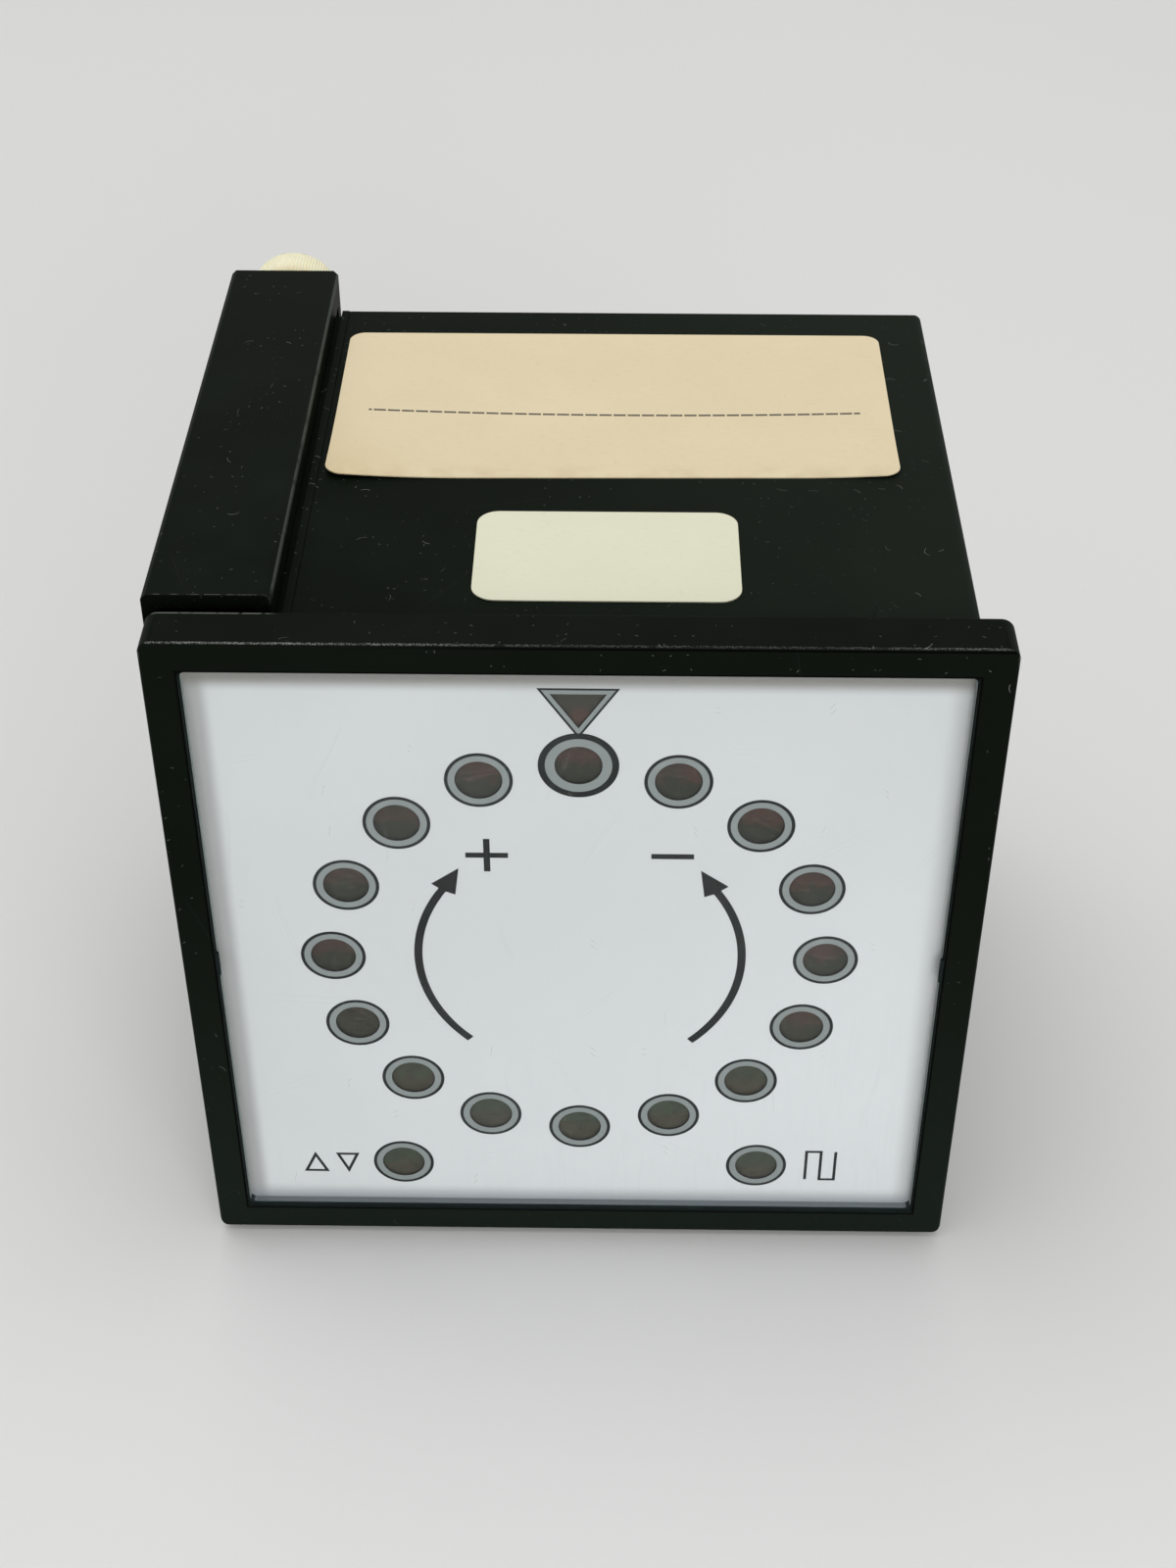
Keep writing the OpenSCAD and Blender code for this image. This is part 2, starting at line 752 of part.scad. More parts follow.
// Brass nuts of the terminals, each with a tail that drops to the main board
module terminal_nuts() {
    color("#c9a24a") for (i = [1:terminal_count]) translate([terminal_x(i), 0, terminal_z]) {
        difference() {
            translate([-nut_w / 2, cover_front, -nut_w / 2])
                cube([nut_w, floor_y - cover_front, nut_w]);
            rod(terminal_screw_r + thread_gap, cover_front - 1, floor_y + 1);
        }
        translate([-tail_w / 2, tail_y, -nut_w / 2])
            cube([tail_w, cover_front - tail_y + 0.2, tail_t]);
        translate([-tail_w / 2, tail_y, main_z - terminal_z - board_t - 0.8])
            cube([tail_w, tail_t, terminal_z - main_z + board_t + 0.8 - nut_w / 2 + tail_t]);
    }
}

// Square wire clamp with two turned-down edges, captive on its screw
module wire_clamp(i) {
    color("silver") translate([terminal_x(i), 0, terminal_z]) difference() {
        union() {
            along_y(washer_y, head_y) rounded_rect(washer_w, washer_w, 0.6);
            for (x = [-1, 1]) translate([x * (washer_w / 2 + 0.3), 0, 0])
                along_y(washer_y, head_y + 0.8) square([0.8, washer_w - 1.6], center = true);
        }
        rod(terminal_screw_r + thread_gap, washer_y - 1, head_y + 1);
    }
}

module terminal_screw(i) {
    color("#d7c98f") pan_screw(terminal_screw_r, terminal_screw_l, terminal_head_r,
        terminal_head_t, head_y + part_gap, terminal_x(i), terminal_z);
}

module wire_clamp_1() { wire_clamp(1); }
module wire_clamp_2() { wire_clamp(2); }
module wire_clamp_3() { wire_clamp(3); }
module wire_clamp_4() { wire_clamp(4); }
module terminal_screw_1() { terminal_screw(1); }
module terminal_screw_2() { terminal_screw(2); }
module terminal_screw_3() { terminal_screw(3); }
module terminal_screw_4() { terminal_screw(4); }

// Corner clamp: a channel folded round the corner of the case, drawn at the upper right corner
// and turned to the corner where it sits. Its end wall takes the thumbscrew.
module clamp_profile(inset, depth) {
    o = clamp_face - inset;
    i = clamp_face - clamp_leg + inset;
    d = clamp_face - depth;
    b = max(clamp_bevel - inset / 2, 0.1);
    polygon([[o, o - b], [o - b, o], [i + b, o], [i, o - b], [i, d], [d, d], [d, i], [o - b, i],
        [o, i + b]]);
}

module fixing_clamp() {
    difference() {
        union() {
            along_y(clamp_front, clamp_back) clamp_profile(0, clamp_depth);
            along_y(clamp_back - clamp_end, clamp_back) clamp_profile(0, clamp_leg);
        }
        difference() {
            along_y(clamp_front - 1, clamp_back - clamp_end)
                clamp_profile(clamp_wall, clamp_depth + 1);
            for (i = [1:web_count])
                along_y(clamp_front + i * (clamp_l - clamp_end) / (web_count + 1),
                    clamp_front + i * (clamp_l - clamp_end) / (web_count + 1) + web_t)
                    square(clamp_face);
        }
        rod(screw_r + fit_gap, clamp_back - clamp_end - 1, clamp_back + 1, screw_c, screw_c);
    }
}

module clamp_upper() {
    color("#171a16") rotate([0, -90, 0]) fixing_clamp();
}

module clamp_lower() {
    color("#171a16") rotate([0, 90, 0]) fixing_clamp();
}

// Nylon thumbscrew: serrated wheel, collar and plain thread
module wheel_shape() {
    polygon([for (i = [0:2 * wheel_teeth - 1])
        let (r = wheel_r - (i % 2 == 0 ? 0 : tooth_h), a = i * 180 / wheel_teeth)
            [r * cos(a), r * sin(a)]]);
}

module thumbscrew() {
    translate([screw_c, 0, screw_c]) {
        rod(screw_r, collar_y - screw_l, wheel_y);
        rod(collar_r, collar_y, wheel_y);
        difference() {
            union() {
                along_y(wheel_y + wheel_bevel, wheel_y + wheel_t - wheel_bevel) wheel_shape();
                translate([0, wheel_y, 0]) rotate([-90, 0, 0]) rotate_extrude()
                    polygon([[0, 0], [wheel_core_r - wheel_bevel, 0], [wheel_core_r, wheel_bevel],
                        [wheel_core_r, wheel_t - wheel_bevel],
                        [wheel_core_r - wheel_bevel, wheel_t], [0, wheel_t]]);
            }
            translate([-slot_w / 2, wheel_y + wheel_t - slot_d, -wheel_r - 1])
                cube([slot_w, slot_d + 1, 2 * wheel_r + 2]);
        }
    }
}

module thumbscrew_upper() {
    color("#efe9d2") rotate([0, -90, 0]) thumbscrew();
}

module thumbscrew_lower() {
    color("#efe9d2") rotate([0, 90, 0]) thumbscrew();
}

// Paper labels on top of the case
module label_sheet(w, d, x, y) {
    translate([x, y + d / 2, case_half]) linear_extrude(height = label_t)
        rounded_rect(w, d, label_r);
}

module rating_label() {
    color("#e3d4b2") label_sheet(label_right - label_left, label_d,
        (label_left + label_right) / 2, label_y);
}

module small_label() {
    color("#e0e0cd") label_sheet(tag_w, tag_d, tag_x, tag_y);
}

bezel();
front_window();
dial_plate();
smoked_filter();
light_box();
ring_leds();
pointer_led();
limit_leds();
display_board();
display_screws();
led_drivers();
board_header();
main_board();
bus_transformer();
generator_transformer();
controller_chip();
reservoir_capacitors();
film_capacitors();
dropper_resistors();
bridge_rectifiers();
case();
rear_cover();
cover_screws();
terminal_nuts();
wire_clamp_1();
wire_clamp_2();
wire_clamp_3();
wire_clamp_4();
terminal_screw_1();
terminal_screw_2();
terminal_screw_3();
terminal_screw_4();
clamp_upper();
clamp_lower();
thumbscrew_upper();
thumbscrew_lower();
rating_label();
small_label();
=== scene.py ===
# %% [markdown]
# # A panel synchroscope, dressed in Blender
# The object is a square instrument that sits in a switchboard. Its solids come from a CAD model
# and arrive here as a fixed frame: every piece already has its real size and place, in metres,
# with X to the right, Y back into the panel and Z up. This script gives the frame its looks. It
# builds surfaces with numpy, rounds the moulded edges, and writes each finish as shader maths.

import math

import bmesh
import bpy
import numpy as np
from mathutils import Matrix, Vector


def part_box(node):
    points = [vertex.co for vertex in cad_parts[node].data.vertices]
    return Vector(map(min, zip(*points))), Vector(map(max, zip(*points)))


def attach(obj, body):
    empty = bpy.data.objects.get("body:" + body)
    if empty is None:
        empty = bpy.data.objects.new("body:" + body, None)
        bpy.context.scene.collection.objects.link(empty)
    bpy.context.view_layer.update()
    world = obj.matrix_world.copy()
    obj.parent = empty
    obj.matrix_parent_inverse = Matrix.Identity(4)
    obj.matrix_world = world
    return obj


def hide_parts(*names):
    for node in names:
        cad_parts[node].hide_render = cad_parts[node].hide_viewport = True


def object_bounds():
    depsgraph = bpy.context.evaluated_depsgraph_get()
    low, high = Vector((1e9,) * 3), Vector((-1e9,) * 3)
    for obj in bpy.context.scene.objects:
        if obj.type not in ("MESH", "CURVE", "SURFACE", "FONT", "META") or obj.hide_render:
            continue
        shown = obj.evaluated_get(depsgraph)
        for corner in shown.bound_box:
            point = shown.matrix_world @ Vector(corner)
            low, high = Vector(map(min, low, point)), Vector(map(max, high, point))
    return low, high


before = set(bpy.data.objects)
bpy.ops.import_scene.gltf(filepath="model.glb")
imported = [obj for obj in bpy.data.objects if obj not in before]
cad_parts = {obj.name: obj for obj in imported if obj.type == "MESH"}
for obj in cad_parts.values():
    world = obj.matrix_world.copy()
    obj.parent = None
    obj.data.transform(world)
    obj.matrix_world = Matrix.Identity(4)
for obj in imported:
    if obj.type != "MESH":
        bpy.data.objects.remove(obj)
cad_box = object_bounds()
MM = 0.001

# %% [markdown]
# ## Sizes
# Pieces and patterns below are in millimetres, because the parts were designed in them. Only the
# camera, the floor and the lamps are in Blender's metres. The places of the main faces are read
# from the frame, so that a change in the CAD model carries over.

# %% Main faces of the instrument


def faces_of(node):
    """Lowest and highest corner of a CAD node, in millimetres."""
    low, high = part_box(node)
    return np.array(low) / MM, np.array(high) / MM


bezel_low, bezel_high = faces_of("bezel")
window_low, window_high = faces_of("front_window")
dial_low, _ = faces_of("dial_plate")
label_low, label_high = faces_of("rating_label")
tag_low, tag_high = faces_of("small_label")
clamp_low, clamp_high = faces_of("clamp_upper")
screw_low, screw_high = faces_of("thumbscrew_upper")
bezel_half = bezel_high[0]
bezel_front = bezel_low[1]
bezel_thick = -bezel_front
window_half = window_high[0]
opening_half = 43.95
clamp_leg_end = -clamp_high[0]
print("bezel half width", bezel_half, "thickness", bezel_thick, "window half width", window_half)

# %% [markdown]
# ## The camera
# The photograph looks down on the instrument from in front. Its camera was worked out from the
# square bezel, whose real size is known. The lens is given for a 36 mm sensor on the frame's
# long side, as Blender takes it.

# %% Camera
camera_place = (0.003986, -0.212375, 0.196471)
look_down, look_aside = 39.055, 0.80
camera_data = bpy.data.cameras.new("photo_camera")
camera_data.lens = 54.009
camera_data.sensor_width = 36
camera_data.clip_start = 0.01
camera_data.clip_end = 20
camera = bpy.data.objects.new("photo_camera", camera_data)
bpy.context.collection.objects.link(camera)
camera.location = camera_place
camera.rotation_euler = (math.radians(90 - look_down), 0, math.radians(look_aside))
bpy.context.scene.camera = camera
print("camera at", camera_place, "looking down by", look_down, "degrees")

# %% [markdown]
# ## Shader maths
# A finish is a tree of nodes. Wiring it by hand hides the formula, so one small class wraps an
# output socket: `+`, `-`, `*`, `/`, `>` and `<` between sockets and numbers add Math nodes, and
# `node` adds any other kind.

# %% A socket that does arithmetic


class Shade:
    """One output socket in a material's node tree."""

    def __init__(self, tree, socket=None):
        self.tree = tree
        self.socket = socket

    def node(self, kind, settings=None, values=None, out=0):
        """Adds a node, whose kind is its type without the ShaderNode that each starts with, applies its
        settings, then links or sets its sockets, and returns one output."""
        made = self.tree.nodes.new("ShaderNode" + kind)
        for name, value in (settings or {}).items():
            setattr(made, name, value)
        for name, value in (values or {}).items():
            if isinstance(value, Shade):
                self.tree.links.new(value.socket, made.inputs[name])
            else:
                made.inputs[name].default_value = value
        return Shade(self.tree, made.outputs[out] if made.outputs else None)

    def split(self, kind, *outs):
        """The chosen outputs of the kind of node that takes this vector or colour apart."""
        return [self.node(kind, {}, {0: self}, out) for out in outs]

    def math(self, operation, *terms):
        """Applies a Math node to this socket and the other terms."""
        values = dict(enumerate((self, *terms)))
        return self.node("Math", {"operation": operation}, values)

    def __add__(self, other):
        return self.math("ADD", other)

    def __sub__(self, other):
        return self.math("SUBTRACT", other)

    def __mul__(self, other):
        return self.math("MULTIPLY", other)

    def __truediv__(self, other):
        return self.math("DIVIDE", other)

    def __gt__(self, other):
        return self.math("GREATER_THAN", other)

    def __lt__(self, other):
        return self.math("LESS_THAN", other)

    def __abs__(self):
        return self.math("ABSOLUTE")

    def __rsub__(self, other):
        return (self * -1) + other

    __radd__ = __add__
    __rmul__ = __mul__

    def least(self, other):
        """The smaller of the two values."""
        return self.math("MINIMUM", other)

    def most(self, other):
        """The larger of the two values."""
        return self.math("MAXIMUM", other)

    def diagonal(self, other):
        """The distance whose two parts are this value and the other: sqrt(a^2 + b^2)."""
        return (self * self + other * other).math("SQRT")

    def ramp(self, low, high):
        """0 below low, 1 above high, smooth in between. With low above high it falls instead."""
        flip = low > high
        values = {0: self, 1: min(low, high), 2: max(low, high), 3: float(flip), 4: float(not flip)}
        return self.node("MapRange", {"interpolation_type": "SMOOTHSTEP"}, values)

    def near(self, centre, half, soft):
        """1 where this value lies within half of centre, fading out over soft."""
        return abs(self - centre).ramp(half + soft, half)


# %% [markdown]
# A finish is started by `Finish`. It gives the place on the piece in millimetres, patterns at a
# size in millimetres, and at the end the Principled shader. Colours are mixed by a mask, one
# coat at a time, in the order in which the real surface got them: moulding, wear, dust.

# %% A material under construction


class Finish:
    """One material: base look, then coats mixed over it by masks. Grains and fibres come in all sizes
    from the full one down to the share called smallest."""

    smallest = 0.3

    def __init__(self, name, colour, roughness, **constants):
        """Starts the tree with the place on the piece in millimetres. constants go to the shader."""
        self.material = bpy.data.materials.new(name)
        self.material.use_nodes = True
        self.tree = self.material.node_tree
        self.tree.nodes.clear()
        self.node = Shade(self.tree).node
        coordinates = self.node("TexCoord", out="Object")
        self.place = self.node("VectorMath", {"operation": "SCALE"}, {0: coordinates, "Scale": 1 / MM})
        self.x, self.y, self.z = self.place.split("SeparateXYZ", 0, 1, 2)
        self.colour = colour
        self.roughness = roughness
        self.height = None
        self.constants = constants

    def stretched(self, x=1.0, y=1.0, z=1.0):
        """The place with each axis multiplied, so that a pattern is drawn out or squeezed."""
        return self.node("VectorMath", {"operation": "MULTIPLY"}, {0: self.place, 1: (x, y, z)})

    def noise(self, size, detail, place=None):
        """Soft random values from 0 to 1 whose features are about size millimetres across."""
        values = {"Vector": place or self.place, "Scale": 1 / size, "Detail": detail}
        return self.node("TexNoise", {}, values)

    def mix(self, mask, under, over):
        """The colour under where mask is 0 and over where it is 1. The Mix node has a set of sockets
        for each kind of data, so those for colours are called by number."""
        first, second, result = 6, 7, 2
        values = {0: mask}
        for socket, colour in ((first, under), (second, over)):
            values[socket] = colour if isinstance(colour, Shade) else (*colour, 1)
        return self.node("Mix", {"data_type": "RGBA"}, values, result)

    def coat(self, mask, colour, roughness=None):
        """Lays a colour, and a roughness if it has one, over what is there, by a mask."""
        self.colour = self.mix(mask, self.colour, colour)
        if roughness is not None:
            self.roughness = (1 - mask) * self.roughness + mask * roughness

    def raise_by(self, height):
        """Adds to the relief, in millimetres."""
        self.height = height if self.height is None else self.height + height

    def specks(self, cell, radius, share):
        """Round grains: one in each cell of a random lattice, kept for a share of the cells."""
        lattice = {"Vector": self.place, "Scale": 1 / cell}
        distance = self.node("TexVoronoi", {}, lattice, "Distance")
        chance = self.node("TexVoronoi", {}, lattice, "Color")
        pick, size = chance.split("SeparateColor", 0, 1)
        edge = (size * (1 - self.smallest) + self.smallest) * (radius / cell)
        return (distance < edge) * (pick < share)

    def surface_plane(self):
        """Two coordinates that lie in the surface, for faces that look along X, Y or Z, and a mask that
        is 1 on faces that look up or down."""
        looks_along = 0.7
        normal = self.node("TexCoord", out="Normal")
        across, up = normal.split("SeparateXYZ", 0, 2)
        sideways = abs(across) > looks_along
        upward = abs(up) > looks_along
        first = sideways * self.y + (1 - sideways) * self.x
        second = upward * self.y + (1 - upward) * self.z
        return first, second, upward

    def fibres(self, plane, cell, length, width, bend, share, seed):
        """Short curved hairs: in each cell of a flat random lattice, turned by a random angle a, a hair
        is where the distance to the parabola v = bend u^2 is under half the width. A share of the
        cells has one, and seed shifts the lattice."""
        first, second, _ = plane
        shift_x, shift_y = seed * 17.3, seed * 9.1
        shifted = self.node("CombineXYZ", {}, {0: first + shift_x, 1: second + shift_y})
        lattice = {"Vector": shifted, "Scale": 1 / cell, "Randomness": 0.8}
        settings = {"voronoi_dimensions": "2D"}
        chance = self.node("TexVoronoi", settings, lattice, "Color")
        centre = self.node("TexVoronoi", settings, lattice, "Position")
        offset = self.node("VectorMath", {"operation": "SUBTRACT"}, {0: shifted, 1: centre})
        dx, dy = offset.split("SeparateXYZ", 0, 1)
        turn, pick, size = chance.split("SeparateColor", 0, 1, 2)
        angle = turn * (2 * math.pi)
        u = dx * angle.math("COSINE") + dy * angle.math("SINE")
        v = dy * angle.math("COSINE") - dx * angle.math("SINE")
        reach = (size * (1 - self.smallest) + self.smallest) * (length / 2)
        return (abs(v - u * u * bend) < width / 2) * (abs(u) < reach) * (pick < share)

    def finish(self, bump=1.0):
        """Ends the tree in a Principled shader. Numbers that don't vary are set on its own sockets."""
        values = {name.replace("_", " "): value for name, value in self.constants.items()}
        values["Base Color"] = self.colour if isinstance(self.colour, Shade) else (*self.colour, 1)
        values["Roughness"] = self.roughness
        if self.height is not None:
            relief = {"Height": self.height, "Distance": MM, "Strength": bump}
            values["Normal"] = self.node("Bump", {}, relief)
        shader = self.node("BsdfPrincipled", {}, values)
        self.node("OutputMaterial", {}, {"Surface": shader})
        return self.material


# %% [markdown]
# ## Black moulded plastic
# Bezel, case and clamps are injection-moulded in black with a fine satin grain. Handling has
# left what the photograph shows: a film of dust on upward faces, hairline scratches, curled
# hairs, short lint and pale grains. Five light coats over a nearly black base do that, in that
# order. Each moulding then gets its own marks: wear, and on bezel and clamps painted light as well
# (painted highlights, painted shadow lines and a painted reflection).

# %% Black plastic, as a recipe for several mouldings
pale_fibre, pale_dust = (0.24, 0.25, 0.22), (0.22, 0.22, 0.20)


def black_moulding(name, colour, roughness, dust, own_marks=None):
    """A black moulding with grain, dust, fibres and scratches. The last argument adds the moulding's own
    marks over them: wear, and painted light on bezel and clamps.
    """
    finish = Finish(name, colour, roughness, Specular_IOR_Level=0.012)
    plane = finish.surface_plane()
    upward = plane[2]
    mottle = finish.noise(14.0, 3.0)
    finish.roughness = mottle * 0.16 + (roughness - 0.08)
    dust_film = mottle.ramp(0.35, 0.8) * (upward * 0.75 + 0.25) * dust
    finish.coat(dust_film * 0.10, (0.034, 0.042, 0.032), 0.75)
    scratch = finish.fibres(plane, cell=16.0, length=15.0, width=0.03, bend=0.004, share=0.4, seed=1)
    finish.coat(scratch * 0.15, (0.10, 0.10, 0.095), 0.6)
    patches = finish.noise(8.0, 2.0).ramp(0.44, 0.62)
    hairs = finish.fibres(plane, cell=6.0, length=1.4, width=0.06, bend=0.45, share=0.42 * dust, seed=2)
    lint = finish.fibres(plane, cell=1.8, length=0.42, width=0.045, bend=0.9, share=0.45 * dust, seed=3)
    for fibre in (hairs, lint):
        finish.coat(fibre * patches * 0.7, pale_fibre, 0.9)
    grains = finish.specks(cell=1.0, radius=0.045, share=0.30 * dust)
    finish.coat(grains * (patches * 0.75 + 0.25) * 0.6, (0.30, 0.30, 0.27), 0.9)
    if own_marks is not None:
        own_marks(finish)
    finish.raise_by(finish.noise(0.22, 1.0) * 0.006)
    finish.raise_by(finish.noise(1.6, 2.0) * 0.004)
    return finish.finish(bump=0.6)


def bezel_wear_and_painted_light(finish):
    """Wear, dust and painted light on the bezel: a fine rubbed line on the rounded front edge, where the
    distances to the outer face and to the front add up to least, with a painted shadow line under it.
    The front is painted lighter towards the foot. The walls of the opening carry a painted reflection
    of the pale dial, a painted shadow line runs round the opening, and dust lies at the top's rear edge."""
    side = bezel_half - abs(finish.x)
    level = bezel_half - abs(finish.z)
    from_front = finish.y - bezel_front
    line = (side.least(level) + from_front).ramp(0.32, 0.25)
    broken = finish.noise(0.15, 2.0).ramp(0.40, 0.62) * finish.noise(2.5, 2.0).ramp(0.22, 0.5)
    top = finish.z.ramp(bezel_half - 3, bezel_half - 1)
    ends = finish.x.ramp(0.0, -30.0) * 0.65 + finish.x.ramp(25.0, 46.0) * 0.25 + 0.25
    where = top * ends * 0.9 + (1 - top) * finish.noise(14.0, 1.0).ramp(0.55, 0.75) * 0.15
    # Painted light: the bezel is drawn lighter towards its foot.
    finish.coat(finish.z.ramp(20.0, -50.0) * 0.65, (0.0115, 0.0165, 0.0125))
    # Painted shadow: a dark line just under the rubbed front edge.
    painted_shadow_line = (from_front < 0.04) * level.near(0.52, 0.12, 0.06) * finish.x.ramp(-30.0, 0.0) * top
    finish.coat(painted_shadow_line, (0.0010, 0.0013, 0.0010))
    finish.coat(line * broken * where, (0.30, 0.31, 0.29), 0.6)
    inner = abs(finish.x).most(abs(finish.z))
    # Painted shadow: a dark line round the opening, in the gap to the window.
    finish.coat(inner.near(opening_half + 0.12, 0.10, 0.06), (0.0012, 0.0016, 0.0012))
    # Painted reflection: the walls of the opening are lit by the pale dial, brighter towards the back.
    wall = (inner < opening_half + 0.03) * (from_front > 0.02)
    wall_painted_reflection = finish.mix(from_front.ramp(0.0, 1.1), (0.010, 0.015, 0.0145), (0.030, 0.040, 0.040))
    finish.coat(wall, wall_painted_reflection, 0.4)
    top_face = finish.z.ramp(bezel_half - 0.3, bezel_half - 0.1)
    rear_edge = from_front.ramp(bezel_thick - 0.35, bezel_thick - 0.1)
    before_clamp = finish.x.ramp(-33.0, -35.0)
    uneven = finish.noise(0.8, 2.0).ramp(0.3, 0.5)
    finish.coat(top_face * rear_edge * before_clamp * uneven * 0.7, pale_dust, 0.9)


def clamp_wear_and_painted_light(finish):
    """Wear and painted light on a clamp: a painted highlight runs along its long free edges. The open
    front is painted dark as shade, with grains of dust and a fine rubbed line along its upper edge."""
    outer, inner = abs(finish.x).most(abs(finish.z)), abs(finish.x).least(abs(finish.z))
    # Painted highlight along the clamp's long free edges.
    painted_edge_highlight = (outer > clamp_high[2] - 1.2) * inner.near(clamp_leg_end + 0.08, 0.08, 0.10)
    finish.coat(painted_edge_highlight * finish.noise(4.0, 2.0).ramp(0.2, 0.5) * 0.8, (0.070, 0.080, 0.070), 0.5)
    from_front = finish.y - clamp_low[1]
    open_front = from_front.ramp(0.2, 0.05)
    # Painted shade: the open front is darkened.
    finish.coat(open_front * 0.7, (0.0018, 0.0024, 0.0018), 0.8)
    finish.coat(open_front * finish.specks(cell=0.42, radius=0.055, share=0.5) * 0.6, pale_dust, 0.9)
    rubbed = from_front.near(0.24, 0.05, 0.05) * (outer > clamp_high[2] - 0.3)
    finish.coat(rubbed * finish.noise(1.2, 2.0).ramp(0.45, 0.6) * 0.5, (0.12, 0.125, 0.11), 0.7)


def case_paler_right_and_hairs(finish):
    """The case is a little paler towards the right, and some curled hairs lie there."""
    paler = finish.noise(20.0, 2.0) * 0.5 + 0.5
    finish.coat(finish.x.ramp(-25.0, 45.0) * paler * 0.8, (0.0135, 0.0180, 0.0130))
    plane = finish.surface_plane()
    curls = finish.fibres(plane, cell=4.5, length=1.9, width=0.05, bend=0.7, share=0.42, seed=8)
    at_right = finish.x.ramp(32.0, 39.0)
    finish.coat(curls * at_right * (plane[2] * 0.8 + 0.2) * 0.7, pale_fibre, 0.9)


bezel_black = black_moulding("bezel_black", (0.0040, 0.0060, 0.0038), 0.42, 0.8, bezel_wear_and_painted_light)
case_black = black_moulding("case_black", (0.0040, 0.0062, 0.0038), 0.46, 1.0, case_paler_right_and_hairs)
clamp_black = black_moulding("clamp_black", (0.0040, 0.0062, 0.0038), 0.44, 1.2, clamp_wear_and_painted_light)
cover_black = black_moulding("cover_black", (0.0085, 0.0092, 0.0085), 0.5, 0.4)
print("black finishes ready")

# %% [markdown]
# ## Softened copies of the mouldings
# A CAD solid has razor edges, and a real moulding never does: the small round along each edge is
# what catches the light. The CAD mesh itself stays untouched. A copy has its loose triangles
# merged, its flat faces joined, and a narrow Bevel modifier that acts only on sharp edges. Faces
# with many corners are split again first, because the bevel could leave one that crosses itself.
# Case and rear cover have steps finer than a bevel would be, so they keep their own edges (width
# 0). A Weighted Normal modifier then keeps the flat faces flat in the light.

# %% Rounded copy of a CAD node
merge_distance = 0.001 * MM
flat_angle, sharp_angle, bevel_angle = math.radians(1.5), math.radians(32), math.radians(34)


def soften(node, name, body, material, width=0.10, segments=2, cut=None):
    """Copies a CAD node as one piece with merged faces and bevelled edges, which replaces the node.
    cut is a (point, direction) pair in mm: what lies beyond it is taken off and the hole closed."""
    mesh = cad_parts[node].data.copy()
    mesh.name = name
    if "custom_normal" in mesh.attributes:
        mesh.attributes.remove(mesh.attributes["custom_normal"])
    shape = bmesh.new()
    shape.from_mesh(mesh)
    bmesh.ops.remove_doubles(shape, verts=shape.verts, dist=merge_distance)
    bmesh.ops.dissolve_limit(shape, angle_limit=flat_angle, verts=shape.verts, edges=shape.edges)
    if cut is not None:
        point, direction = cut
        parts = shape.verts[:] + shape.edges[:] + shape.faces[:]
        made = bmesh.ops.bisect_plane(shape, geom=parts, plane_co=[c * MM for c in point],
                                      plane_no=direction, clear_outer=True)
        rim = [edge for edge in made["geom_cut"] if isinstance(edge, bmesh.types.BMEdge)]
        bmesh.ops.contextual_create(shape, geom=rim)
        bmesh.ops.recalc_face_normals(shape, faces=shape.faces)
    bmesh.ops.triangulate(shape, faces=[face for face in shape.faces if len(face.verts) > 4])
    shape.to_mesh(mesh)
    shape.free()
    piece = bpy.data.objects.new(name, mesh)
    bpy.context.collection.objects.link(piece)
    mesh.materials.clear()
    mesh.materials.append(material)
    mesh.shade_smooth()
    mesh.set_sharp_from_angle(angle=sharp_angle)
    if width:
        bevel = piece.modifiers.new("edge_round", "BEVEL")
        bevel.width = width * MM
        bevel.segments = segments
        bevel.limit_method = "ANGLE"
        bevel.angle_limit = bevel_angle
        bevel.use_clamp_overlap = False
        bevel.miter_outer = "MITER_ARC"
    even = piece.modifiers.new("even_shading", "WEIGHTED_NORMAL")
    even.keep_sharp = True
    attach(piece, body)
    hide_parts(node)
    print(name, "faces:", len(mesh.polygons))


soften("bezel", "bezel_frame", "instrument", bezel_black, 0.06)
soften("case", "case_shell", "instrument", case_black, 0)
soften("rear_cover", "rear_cover_and_barriers", "instrument", cover_black, 0)
for side in ("upper", "lower"):
    soften(f"clamp_{side}", f"{side}_corner_clamp", f"{side}_clamp", clamp_black)

# %% [markdown]
# ## Building surfaces with numpy
# Every new piece below is a grid of points: rows along one parameter and columns round the
# other. `skin` turns such a grid into a closed mesh, with a flat cap at each end of an open one.

# %% Grid to mesh


def make_piece(name, points, faces, material, body, smooth_angle=None, replaces=()):
    """A mesh object from points in mm, an (n, 3) array, and faces that index them."""
    mesh = bpy.data.meshes.new(name)
    mesh.from_pydata((np.asarray(points) * MM).tolist(), [], faces)
    mesh.materials.append(material)
    if smooth_angle:
        mesh.shade_smooth()
        mesh.set_sharp_from_angle(angle=math.radians(smooth_angle))
    mesh.validate()
    piece = bpy.data.objects.new(name, mesh)
    bpy.context.collection.objects.link(piece)
    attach(piece, body)
    if replaces:
        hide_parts(*replaces)
    print(name, "points:", len(points), "faces:", len(faces))


def skin(grid, loop=False):
    """Faces of a grid of shape (rows, columns, 3) whose columns run round and close. With loop the rows
    close too, as on a ring. Otherwise each end row becomes a flat cap."""
    rows, columns = grid.shape[:2]
    index = np.arange(rows * columns).reshape(rows, columns)
    here = index if loop else index[:-1]
    there = np.roll(index, -1, axis=0) if loop else index[1:]
    quads = np.stack([here, np.roll(here, -1, axis=1), np.roll(there, -1, axis=1), there], axis=-1)
    faces = quads.reshape(-1, 4).tolist()
    if not loop:
        faces += [index[0][::-1].tolist(), index[-1].tolist()]
    return faces


def joined(parts):
    """Several (points, faces) pairs as one, with the later faces counted on from the earlier points."""
    points, faces, start = [], [], 0
    for part_points, part_faces in parts:
        points.append(part_points)
        faces += [[start + corner for corner in face] for face in part_faces]
        start += len(part_points)
    return np.concatenate(points), faces
